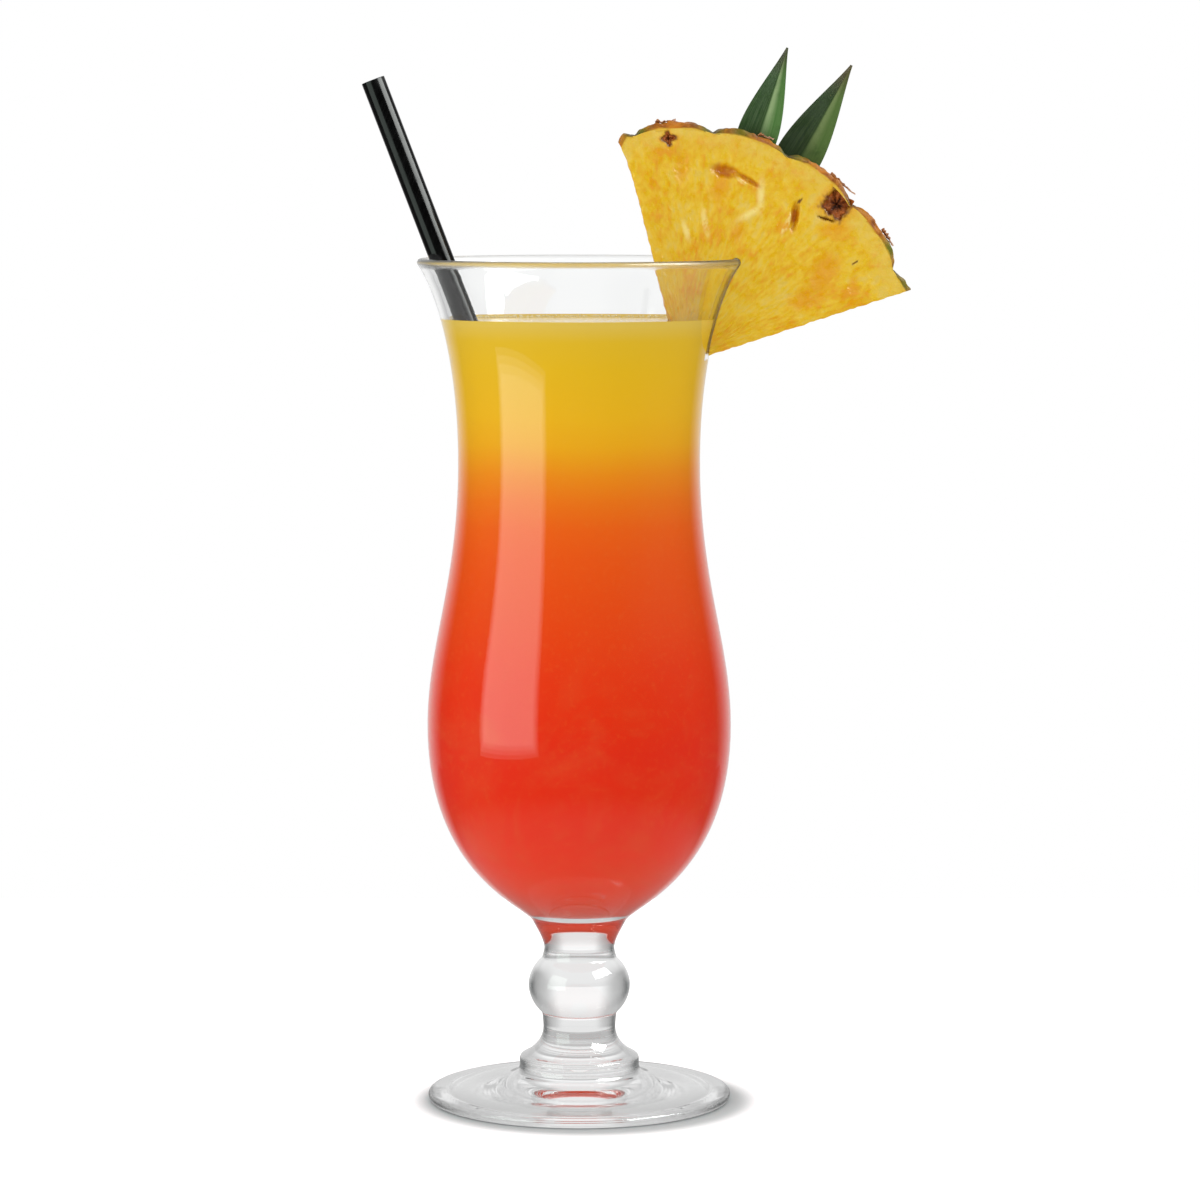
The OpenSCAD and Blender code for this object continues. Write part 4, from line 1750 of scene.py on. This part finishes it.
    def flesh(self) -> Object:
        """Make the whole flesh, with both its cut faces.

        Returns:
            The flesh, without its slit and the rooms of the leaves.
        """
        ring, ray = np.linspace(0, 1, self.rings + 1), np.linspace(0, 1, self.rays + 1)
        u, v = np.meshgrid(ring, ray, indexing="ij")
        outer_a = self.tilt + v * (self.left_a(self.radius) - self.tilt)
        reach = self.rind_r(outer_a, self.soft_notch) - self.rind_t
        radius = u * reach
        angle = self.tilt + v * (self.left_a(radius) - self.tilt)
        x, z = self.polar(radius, angle)
        edge = np.minimum(np.minimum(v, 1 - v) * np.radians(self.span) * radius, (1 - u) * reach + 3)
        bevel = self.bevel * np.exp(-edge / 0.45)
        half = self.thickness / 2
        sheets, marks = [], []
        for front in (True, False):
            inward, values = self.face(x, z, radius, angle, reach - radius, front)
            inward = np.clip(inward, 0.02, self.eye_depth) + bevel
            sign = -1 if front else 1
            sheets.append(np.stack([x, sign * (half - inward), z], -1))
            marks.append(values)
        shares = np.linspace(0, 1, self.layers + 1)
        points = np.stack([sheets[0] * (1 - s) + sheets[1] * s for s in shares])
        wobble = np.exp(-edge / 0.8) * self.edge_wobble
        drift = rough(radius * 0.5, 7.0, v * 3)
        cross = rough(points[..., 0] * 0.8, points[..., 1] * 0.8, points[..., 2] * 0.8)
        outward = (drift + cross) * wobble * np.sign(v - 0.5) * 0.8
        points[..., 0] += outward * np.sin(np.radians(angle))
        points[..., 2] -= outward * np.cos(np.radians(angle))
        values: dict[str, np.ndarray] = {}
        for name, near in marks[0].items():
            far = marks[1][name]
            values[name] = np.stack([near * max(0, 1 - 3 * s) + far * max(0, 3 * s - 2) for s in shares])
        stacked = points.shape[:3]
        values["core"] = np.broadcast_to(marks[0]["core"], stacked)
        round_mm, out_mm = np.broadcast_to(self.arc_mm(angle), stacked), np.broadcast_to(radius, stacked)
        values["grain"] = np.stack([round_mm, points[..., 1], out_mm], -1) * MM
        mesh = self.skin_of_stack("flesh", points, values)
        return placed("pineapple_flesh", mesh)

    def skin_of_stack(self, name: str, points: np.ndarray, values: dict[str, np.ndarray]) -> Mesh:
        """Make a closed mesh from the outside of a block of points.

        Args:
            name: Name of the mesh.
            points: Places with axes for layer, ring, ray and coordinate.
            values: Values with the same first three axes.

        Returns:
            The closed mesh.
        """
        depth, rows, columns = points.shape[:3]
        number = np.arange(depth * rows * columns).reshape(depth, rows, columns)
        faces: list[list[int]] = []
        for block in (number[0], number[-1], number[:, 0], number[:, -1], number[:, :, 0], number[:, :, -1]):
            a, b, c, d = block[:-1, :-1], block[1:, :-1], block[1:, 1:], block[:-1, 1:]
            faces += np.stack([a, b, c, d], -1).reshape(-1, 4).tolist()
        used = np.unique(np.array(faces))
        lookup = np.full(number.size, -1)
        lookup[used] = np.arange(len(used))
        flat = {k: w.reshape(number.size, -1)[used] for k, w in values.items()}
        flat = {k: (w[:, 0] if w.shape[1] == 1 else w) for k, w in flat.items()}
        return closed_mesh(name, points.reshape(-1, 3)[used], lookup[np.array(faces)].tolist(), flat)

    def rind(self) -> Object:
        """Make the rind: a strip round the outside with its skin, seams and fruitlets.

        Returns:
            The rind, without the rooms of the leaves.
        """
        v = np.linspace(0, 1, self.rind_rays + 1)
        angle = self.tilt + v * (self.left_a(self.radius) - self.tilt)
        w = np.linspace(-1, 1, self.rind_columns + 1)
        s = np.linspace(0, 1, self.rind_layers + 1)
        depth, turn, wide = np.meshgrid(s, angle, w, indexing="ij")
        outside = self.rind_r(turn)
        phase = (turn - self.notch_a) / self.fruitlet_a
        seam = 1 - np.abs(np.sin(np.pi * phase))
        fill = (0.3 + 0.6 * rough(np.floor(phase + 0.5) * 7.3, 0.4, 0.4)) * seam**2
        scales = 0.7 * rough(turn * 0.19, wide * 1.2, 2.0) + 0.45 * rough(turn * 0.6, wide * 3, 5.0)
        top = outside - 0.4 + fill + scales * (0.5 + 0.5 * depth)
        bottom = self.rind_r(turn, self.soft_notch) - self.rind_t - 0.35
        radius = bottom + (top - bottom) * depth
        half = self.thickness / 2
        retreat = 0.3 + 0.25 * rough(turn * 0.4, np.sign(wide) * 9, depth * 2) + 0.3 * depth**3
        y = wide * (half - np.abs(wide) ** 8 * retreat)
        share = (turn - self.tilt) / (self.left_a(self.radius) - self.tilt)
        turn = self.tilt + share * (self.left_a(radius) - self.tilt)
        x, z = self.polar(radius, turn)
        points = np.stack([x, y, z], -1)
        green = np.zeros_like(turn)
        for index, pixel in enumerate(self.green_pixels):
            spot_a = self.angle_of(*self.view.point(pixel, -half))
            reach = 0.7 + 0.5 * rough(wide * 2.0, index * 5.0, 0.5)
            green = np.maximum(green, np.exp(-(((turn - spot_a) / 2.6) ** 2)) * reach)
        skin = depth + 0.15 * green
        values = {"skin": skin, "green": np.clip(green + 0.25 * seam, 0, 1), "seam": fade(seam, 0.55, 0.95)}
        mesh = self.skin_of_stack("rind", points, values)
        return placed("pineapple_rind", mesh)

    def build(
        self, glass: Glassware, flesh: Material, rind: Material, leaves: Sequence[Leaf]
    ) -> list[Object]:
        """Make flesh and rind and fit them to their body.

        Args:
            glass: The glass, whose wall the slit closes round.
            flesh: The flesh's material.
            rind: The rind's material.
            leaves: The leaves that are tucked into the slice.

        Returns:
            The flesh and the rind.
        """
        slit = glass.rim_room(self.slit_low, self.slit_room, self.slit_half_turn)
        body = carved(self.flesh(), [slit, *[leaf.room(self) for leaf in leaves]])
        shade(body.data, flesh, 60)
        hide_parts("slice_flesh", "slice_core")
        skin = carved(self.rind(), [leaf.room(self) for leaf in leaves])
        shade(skin.data, rind, 60)
        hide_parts("slice_rind")
        for piece in (body, skin):
            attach(piece, Body.SLICE.value)
        return [body, skin]

    def plugs(self, finish: Material) -> Object:
        """Make the woody plugs that lie in the eyes.

        Args:
            finish: Woody tissue.

        Returns:
            One piece with all the plugs.
        """
        rings, rays = self.plug_rings, self.plug_rays
        points, faces, depths = [], [], []
        for eye in self.eyes:
            start = sum(len(p) for p in points)
            u, k = np.meshgrid(np.linspace(0, 1, rings + 1), np.arange(rays), indexing="ij")
            turn = math.tau * k / rays
            spikes = rough(np.cos(turn) * 2.3, u * 2.6 + eye.angle, np.sin(turn) * 2.3)
            radius = eye.size * u * eye.edge(turn) * 0.97
            rise = 1.25 + 1.05 * u**2 + 0.95 * spikes * fade(u, 0.1, 0.6)
            rise += 0.35 * rough(u * 9, k * 0.9, eye.angle) + (1.7 if eye.is_star else 0.7)
            cross = np.abs(np.cos(2 * turn + 1.2)) ** 4
            cx, cz = self.polar(eye.radius, eye.angle)
            x, z = cx + radius * np.cos(turn), cz + radius * np.sin(turn)
            level = self.thickness / 2 - self.eye_depth + np.clip(rise, 0.5, self.eye_depth - 0.9)
            sign = -1 if eye.front else 1
            top = np.stack([x, sign * level, z], -1).reshape(-1, 3)
            base = top.copy()
            base[:, 1] = sign * (self.thickness / 2 - self.eye_depth - 0.2)
            points += [top, base]
            size = len(top)
            faces += sheet_faces(rings + 1, rays, start, wrap=True)
            faces += sheet_faces(rings + 1, rays, start + size, wrap=True)
            last = start + rings * rays
            for j in range(rays):
                a, b = last + j, last + (j + 1) % rays
                faces.append([a, b, size + b, size + a])
            # Painted shade: the plug is darkest low in the pit and lighter on its raised spikes and outer
            # edge.
            dark = 0.9 - 1.0 * u - 0.6 * spikes + 0.45 * cross - 0.4 * eye.is_star
            depths += [np.clip(dark, 0, 1).reshape(-1), np.ones(size)]
        mesh = closed_mesh("plugs", np.vstack(points), faces, {"depth": np.concatenate(depths)}, 0.002)
        shade(mesh, finish, 70)
        piece = placed("woody_eyes", mesh)
        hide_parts("slice_eyes")
        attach(piece, Body.SLICE.value)
        return piece


@dataclass(frozen=True)
class Bract:
    """A dry pointed scale on the rind."""

    angle: float
    length: float
    width: float
    lift: float
    hair: float
    side: float


@dataclass
class Bracts:
    """The dry bracts that lie on the rind."""

    fruit: Slice
    side_limit: float = 6.45
    rows: int = 26
    columns: int = 9
    bracts: tuple[Bract, ...] = (
        Bract(93.6, 4.6, 3.6, 0.4, 0.4, -3.8),
        Bract(48.0, 5.6, 4.4, 0.6, 2.2, -4.0),
        Bract(31.5, 4.4, 3.4, 0.4, 0.5, -4.2),
        Bract(69.5, 3.6, 2.8, 0.4, 0.4, -4.8),
    )

    def build(self, finish: Material) -> Object:
        """Make all bracts as one piece.

        Args:
            finish: Papery dry tissue.

        Returns:
            The bracts.
        """
        rows, columns = self.rows, self.columns
        points, faces, depths = [], [], []
        for bract in self.bracts:
            t, c = np.meshgrid(np.linspace(0, 1, rows), np.linspace(-1, 1, columns), indexing="ij")
            total = bract.length + bract.hair
            along = (t - 0.5) * total
            blade = np.minimum(1.0, total * t / bract.length)
            half = bract.width / 2 * (1 - blade**1.8) * (0.55 + 0.45 * np.minimum(1, t * 5)) + 0.09
            half = half * (1 + 0.35 * rough(t * 9, np.sign(c) * 3, bract.angle))
            turn = bract.angle - np.degrees(along / self.fruit.radius)
            cup = (0.7 + 0.9 * rough(t * 8, 2.0, bract.angle)) * c**2 * (1 - 0.7 * blade)
            lift = bract.lift * t**2.2 + cup + 0.3 * rough(t * 7, c * 2, bract.angle)
            for side in (0.0, 1.0):
                start = sum(len(p) for p in points)
                sheet_t = 0.32 * (1 - 0.75 * t) * side
                base = self.fruit.rind_r(bract.angle) - 0.25
                x, z = self.fruit.polar(base + np.clip(lift + sheet_t, -0.2, 1.9), turn)
                y = np.clip(bract.side + half * c, -self.side_limit, self.side_limit)
                points.append(np.stack([x, y, z], -1).reshape(-1, 3))
                faces += sheet_faces(rows, columns, start)
                depths.append(np.clip(1.1 - 1.3 * t + 0.3 * np.abs(c), 0, 1).reshape(-1))
            low, high = start - rows * columns, start
            rim = sheet_rim(rows, columns)
            faces += [[low + a, low + b, high + b, high + a] for a, b in zip(rim, rim[1:] + rim[:1])]
        mesh = closed_mesh("bracts", np.vstack(points), faces, {"depth": np.concatenate(depths)})
        shade(mesh, finish, 60)
        piece = placed("dry_bracts", mesh)
        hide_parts("slice_bracts")
        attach(piece, Body.SLICE.value)
        return piece


# Leaves


@dataclass
class Leaf:
    """One folded, tapering leaf that is tucked into the slice."""

    body: Body
    angle: float
    width: float
    length: float
    y: float
    thickness: float = 0.9
    fold: float = 20.0
    turn: float = 7.0
    tuck: float = 8.5
    bend: float = 2.4
    curl: float = 0.07
    fold_width: float = 0.16
    room_gap: float = 0.25
    columns: int = 24
    rows: int = 90

    def halves(self) -> tuple[float, float]:
        """Return the directions of the right and the left half of the leaf, in radians."""
        return math.radians(-self.fold - self.turn), math.radians(180 + self.fold - self.turn)

    def section(self, half: float, thickness: float) -> list[Point]:
        """Draw the folded section across the leaf.

        Args:
            half: Half the leaf's width.
            thickness: Its thickness.

        Returns:
            Six corners, across and through the leaf.
        """
        right_a, left_a = self.halves()
        right = Vector((math.cos(right_a), math.sin(right_a)))
        left = Vector((math.cos(left_a), math.sin(left_a)))
        right_back = Vector((-right.y, right.x)) * thickness / 2
        left_back = Vector((left.y, -left.x)) * thickness / 2
        lean = Vector((-right.y, right.x)).dot(Vector((left.y, -left.x)))
        mid_back = (right_back + left_back) / (1 + lean)
        corners = [
            half * right + right_back,
            mid_back,
            half * left + left_back,
            half * left - left_back,
            -mid_back,
            half * right - right_back,
        ]
        return [(c.x, c.y) for c in corners]

    def put(self, fruit: Slice, points: np.ndarray) -> np.ndarray:
        """Move points from the leaf's own axes to their place on the slice.

        Args:
            fruit: The slice.
            points: Across, through and along the leaf, one row each.

        Returns:
            X, Y and Z, one row each.
        """
        turn = math.radians(self.angle)
        out = float(fruit.rind_r(self.angle)) + points[:, 2]
        x = fruit.apex[0] + out * math.cos(turn) + points[:, 0] * math.sin(turn)
        z = fruit.apex[1] + out * math.sin(turn) - points[:, 0] * math.cos(turn)
        return np.stack([x, points[:, 1] + self.y, z], -1)

    def room(self, fruit: Slice) -> Object:
        """Make the room that the leaf's root takes in the slice, to carve with.

        Args:
            fruit: The slice.

        Returns:
            A bar of the root's shape and its gap.
        """
        gap = self.room_gap
        corners = self.section(self.width / 2 + gap, self.thickness + 2 * gap)
        start = self.put(fruit, np.array([(x, y, -self.tuck - gap) for x, y in corners]))
        end = self.put(fruit, np.array([(x, y, self.tuck) for x, y in corners]))
        return prism("leaf_room", start.tolist(), (end[0] - start[0]).tolist())

    def build(self, fruit: Slice, finish: Material) -> Object:
        """Make the leaf and fit it to its body.

        Args:
            fruit: The slice that carries the leaf.
            finish: The leaf's material.

        Returns:
            The leaf.
        """
        root, tip = (0.0, self.width / 2), (self.length, 0.05 * self.width / 2)
        edge = np.array(cubic(handles(root, tip, ((0.3, 0.0), (0.75, 0.78)))))
        along = np.linspace(-self.tuck, self.length, self.rows + 1)
        across = np.linspace(-1, 1, self.columns + 1)
        right_a, left_a = self.halves()
        sheets, spans = [], []
        for face in (1, -1):
            rows = []
            for s in along:
                out = max(0.0, s) / self.length
                half = float(np.interp(s, edge[:, 0], edge[:, 1]))
                thick = self.thickness * (1 - 0.5 * out) / 2
                for c in across:
                    a = right_a if c >= 0 else left_a
                    reach = abs(c) * half
                    x, y = reach * math.cos(a), reach * math.sin(a)
                    sharpness = self.fold_width * half * math.sin(math.radians(self.fold))
                    melt = 0.5 * math.exp(-((c / self.fold_width) ** 2)) * sharpness
                    curl = -self.curl * abs(c) ** 3 * out * half
                    thin = thick * (1 - 0.72 * abs(c) ** 3) * (1 - 0.6 * fade(out, 0.9, 1.0))
                    rows.append((x, y - melt + curl + face * thin + self.bend * out**2, s))
                    if face == 1:
                        spans.append((c, s / self.length, 0.0))
            sheets.append(np.array(rows, float))
        count = len(sheets[0])
        columns = self.columns + 1
        faces = sheet_faces(self.rows + 1, columns) + sheet_faces(self.rows + 1, columns, count)
        rim = sheet_rim(self.rows + 1, columns)
        faces += [[a, b, count + b, count + a] for a, b in zip(rim, rim[1:] + rim[:1])]
        points = self.put(fruit, np.vstack(sheets))
        span = np.array(spans + spans, float)
        mesh = closed_mesh(self.body.value, points, faces, {"span": span})
        shade(mesh, finish, 60)
        piece = placed(f"{self.body.value}_blade", mesh)
        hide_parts(self.body.value)
        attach(piece, self.body.value)
        return piece


# Studio


@dataclass(frozen=True)
class Softbox:
    """A lamp that faces the glass, with its size and place in millimetres.

    Its azimuth is in degrees from the camera's side, to the left if negative, and a brightness of 1 is a
    white background. A mirrored box shows in mirrors alone, and the others light matt surfaces alone.
    """

    name: str
    azimuth: float
    low: float
    high: float
    width: float
    away: float
    bright: float
    tint: tuple[float, float, float] = (1.0, 1.0, 1.0)
    mirrored: bool = False

    def hang(self) -> None:
        """Put the lamp into the scene."""
        turn = math.radians(self.azimuth)
        lamp = bpy.data.lights.new(self.name, "AREA")
        lamp.shape = "RECTANGLE"
        lamp.size, lamp.size_y = self.width * MM, (self.high - self.low) * MM
        lamp.energy = self.bright * math.pi * lamp.size * lamp.size_y
        lamp.color = self.tint
        box = bpy.data.objects.new(self.name, lamp)
        away = self.away * MM
        box.location = (away * math.sin(turn), -away * math.cos(turn), (self.low + self.high) / 2 * MM)
        box.rotation_euler = (math.radians(90), 0.0, turn)
        box.visible_diffuse = not self.mirrored
        box.visible_glossy = self.mirrored
        box.visible_transmission = False
        bpy.context.collection.objects.link(box)


@dataclass
class Studio:
    """White floor and surroundings, softboxes and the camera."""

    view: View = field(default_factory=View)
    foot_r: float = 37.3
    ambient: float = 0.98
    floor_half: float = 300.0
    floor_drop: float = 0.02
    floor_colour: Colour = grey(0.9)
    bounces: tuple[int, int, int] = (28, 20, 24)
    band_dark: float = 0.5
    room_dark: float = 0.03
    floor_dark: float = 0.1
    floor_near: float = 0.4
    behind: float = 0.8
    # Painted contact shadow: the floor's colour right round the foot.
    contact: Colour = (0.6, 0.64, 0.64, 1.0)
    left_tint: tuple[float, float, float] = (0.84, 1.0, 0.9)
    right_tint: tuple[float, float, float] = (0.96, 1.0, 0.97)
    inset: float = 14.0
    # Painted shadow: through glass the floor's glow is this dim under the foot.
    painted_shadow_under_foot: float = 0.5
    far: float = 0.82
    glow: float = 0.42
    # The painted contact shadow's inner and outer radius, and how far its middle lies from the foot's.
    painted_shadow_r: Point = (37.2, 45.0)
    painted_shadow_shift: Point = (1.4, -2.6)

    def cards(self, graph: Graph, across: Any, away: Any) -> NodeSocket:
        """Work out how far a direction points at a dark card, which stand between the four sides.

        Args:
            graph: The tree to work in.
            across: X of the direction or place.
            away: Y of it.

        Returns:
            0 on the sides, 1 in the middle of a card.
        """
        product = graph.times(across, away)
        square = graph.math("MULTIPLY_ADD", across, across, graph.times(away, away))
        share = graph.math("ABSOLUTE", graph.math("DIVIDE", graph.times(product, 2.0), square))
        return graph.stretch(share, 0.5, 1.0)

    def surroundings(self) -> None:
        """Make the room: plain light for surfaces, dark for reflections, and white behind glass."""
        world = bpy.data.worlds.new("studio")
        world.use_nodes = True
        bpy.context.scene.world = world
        graph = Graph(world.node_tree)
        world.node_tree.nodes.clear()
        way = graph.parts(graph.add("ShaderNodeTexCoord").outputs["Generated"])
        dark = self.cards(graph, way[0], way[1])
        level = graph.math("ABSOLUTE", way[2])
        flat = graph.stretch(level, 0.85, 0.55)
        sky = graph.mix(graph.stretch(level, 0.12, 0.45), WHITE, grey(self.far))
        shown = graph.mix(graph.times(dark, flat), sky, grey(self.band_dark))
        above = graph.stretch(way[2], 0.26, 0.5)
        behind = graph.times(graph.stretch(way[1], 0.55, 0.95), self.behind)
        below = graph.stretch(way[2], 0.05, -0.25, self.room_dark, self.floor_dark)
        mirror = graph.math("MAXIMUM", graph.math("MAXIMUM", above, behind), below)
        chosen = graph.by_ray(
            camera=graph.light("Background", 1.0),
            through=graph.light("Background", 1.0, shown),
            mirrored=graph.light("Background", mirror),
            plain=graph.light("Background", self.ambient),
        )
        graph.add("ShaderNodeOutputWorld", {0: chosen})

    def floor(self) -> None:
        """Make the white floor, which keeps the object's soft shadow and has a painted contact shadow round
        the foot; through glass and in mirrors it shows a painted glow.
        """
        half, level = self.floor_half * MM, -self.floor_drop * MM
        corners = [(-half, -half, level), (half, -half, level), (half, half, level), (-half, half, level)]
        mesh = bpy.data.meshes.new("floor")
        mesh.from_pydata(corners, [], [(0, 1, 2, 3)])
        look = Finish("white_floor", Roughness=1.0, Specular_IOR_Level=0.0)
        # Painted contact shadow: round the foot the floor darkens to the contact colour and the camera's
        # glow fades out, reaching farther to the right and the front.
        inner, outer = self.painted_shadow_r[0] * MM, self.painted_shadow_r[1] * MM
        shift = (self.painted_shadow_shift[0] * MM, self.painted_shadow_shift[1] * MM, 0.0)
        moved = look.vector("SUBTRACT", look.place, shift)
        radius = look.add("ShaderNodeVectorMath", {0: moved}, operation="LENGTH").outputs["Value"]
        outside_painted_shadow = look.stretch(radius, inner, outer)
        look.feed("Base Color", look.mix(outside_painted_shadow, self.contact, self.floor_colour))
        glow = look.light("Emission", look.stretch(radius, inner, outer, 0.0, self.glow))
        lit = look.add("ShaderNodeAddShader", {0: look.shader.outputs[0], 1: glow}).outputs[0]
        spot = look.parts(look.place)
        # Painted reflection: mirrors see a glow that is brighter near the glass, dark farther out and bright
        # far behind.
        ahead = look.math("DIVIDE", spot[1], radius)
        behind = look.times(look.stretch(ahead, 0.55, 0.95), look.stretch(radius, 0.06, 0.12))
        close = look.stretch(radius, 0.1, 0.2, self.floor_near, self.floor_dark)
        mirror = look.math("MAXIMUM", look.times(behind, self.behind), close)
        # Painted shade through glass: a glow with dark cards at the sides, dimmer under the foot.
        card = look.times(self.cards(look, spot[0], spot[1]), look.stretch(radius, 0.05, 0.11))
        foot_r = self.foot_r * MM
        level = look.stretch(radius, foot_r, 1.3 * foot_r, self.painted_shadow_under_foot, self.far)
        shown = look.math("MULTIPLY_ADD", card, look.math("SUBTRACT", self.band_dark, level), level)
        chosen = look.by_ray(
            camera=lit,
            through=look.light("Emission", shown),
            mirrored=look.light("Emission", mirror),
            plain=look.shader.outputs[0],
        )
        look.show(chosen)
        mesh.materials.append(look.material)
        placed("studio_floor", mesh)

    def softboxes(self) -> list[Softbox]:
        """List the lamps: two that light matt surfaces, and what mirrors show of two.

        Returns:
            The lamps. The left mirrored one is four nested faces, so that its edges are soft.
        """
        left = []
        for step in range(4):
            low, high = -28 + self.inset * step, 480 - self.inset * step
            width, away = 490 - 2 * self.inset * step, 543 + 2 * step
            name = f"left_mirrored_{step}"
            left.append(Softbox(name, -54, low, high, width, away, 0.72, self.left_tint, mirrored=True))
        return [
            Softbox("left_softbox", -56, -60, 480, 400, 560, 0.9),
            Softbox("right_softbox", 68, 60, 420, 300, 620, 0.35),
            *left,
            Softbox("right_mirrored", 70, 370, 820, 520, 500, 16.0, self.right_tint, mirrored=True),
        ]

    def build(self) -> None:
        """Set up the whole studio."""
        bpy.context.scene.view_settings.view_transform = "Standard"
        paths = bpy.context.scene.cycles
        paths.max_bounces, paths.glossy_bounces, paths.transmission_bounces = self.bounces
        self.view.camera()
        self.surroundings()
        self.floor()
        for box in self.softboxes():
            box.hang()


def report(*pieces: Object) -> None:
    """Log the name and the number of faces of each finished piece."""
    for piece in pieces:
        LOG.info("%s: %d faces", piece.name, len(piece.data.polygons))


def main() -> None:
    """Build the whole model and its studio."""
    logging.basicConfig(level=logging.INFO, format="%(name)s: %(message)s")
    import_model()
    Studio().build()
    wear = wear_group()
    revolver = Revolver()
    glass, straw, fruit = Glassware(), Straw(), Slice()
    drink = Drink(glass)
    leaves = [
        Leaf(Body.LEFT_LEAF, angle=71.3, width=10.6, length=22.0, y=-2.0),
        Leaf(Body.RIGHT_LEAF, angle=60.0, width=12.0, length=25.4, y=3.8),
    ]
    # Each leaf's dark and light colours are painted shade and light on the two halves of its fold.
    greens = [
        LeafGreen(
            "left_leaf_green",
            dark=paint(22, 60, 2),
            light=paint(62, 106, 38),
            stripe=paint(142, 166, 114),
            tip=paint(50, 46, 14),
        ),
        LeafGreen(
            "right_leaf_green",
            dark=paint(22, 52, 3),
            light=paint(76, 106, 42),
            stripe=paint(118, 138, 82),
            tip=paint(76, 64, 30),
        ),
    ]
    plug = Woody("woody_eye", dark=paint(40, 14, 4), light=paint(112, 46, 12), edge=paint(176, 92, 22))
    dry = Woody("dry_bract", dark=paint(146, 84, 38), light=paint(196, 142, 98), edge=paint(222, 182, 154))
    report(glass.build(revolver, ClearGlass().material(wear)))
    report(*drink.build(revolver, LayeredDrink(), straw, fruit))
    report(FrothRing(drink).build(Bubbler(), Froth().material()))
    report(straw.build(revolver, BlackPlastic().material(wear, straw.lean)))
    report(*fruit.build(glass, Flesh().material(), Rind().material(), leaves))
    report(fruit.plugs(plug.material()), Bracts(fruit).build(dry.material()))
    for leaf, green in zip(leaves, greens):
        report(leaf.build(fruit, green.material()))


if __name__ == "__main__":
    main()
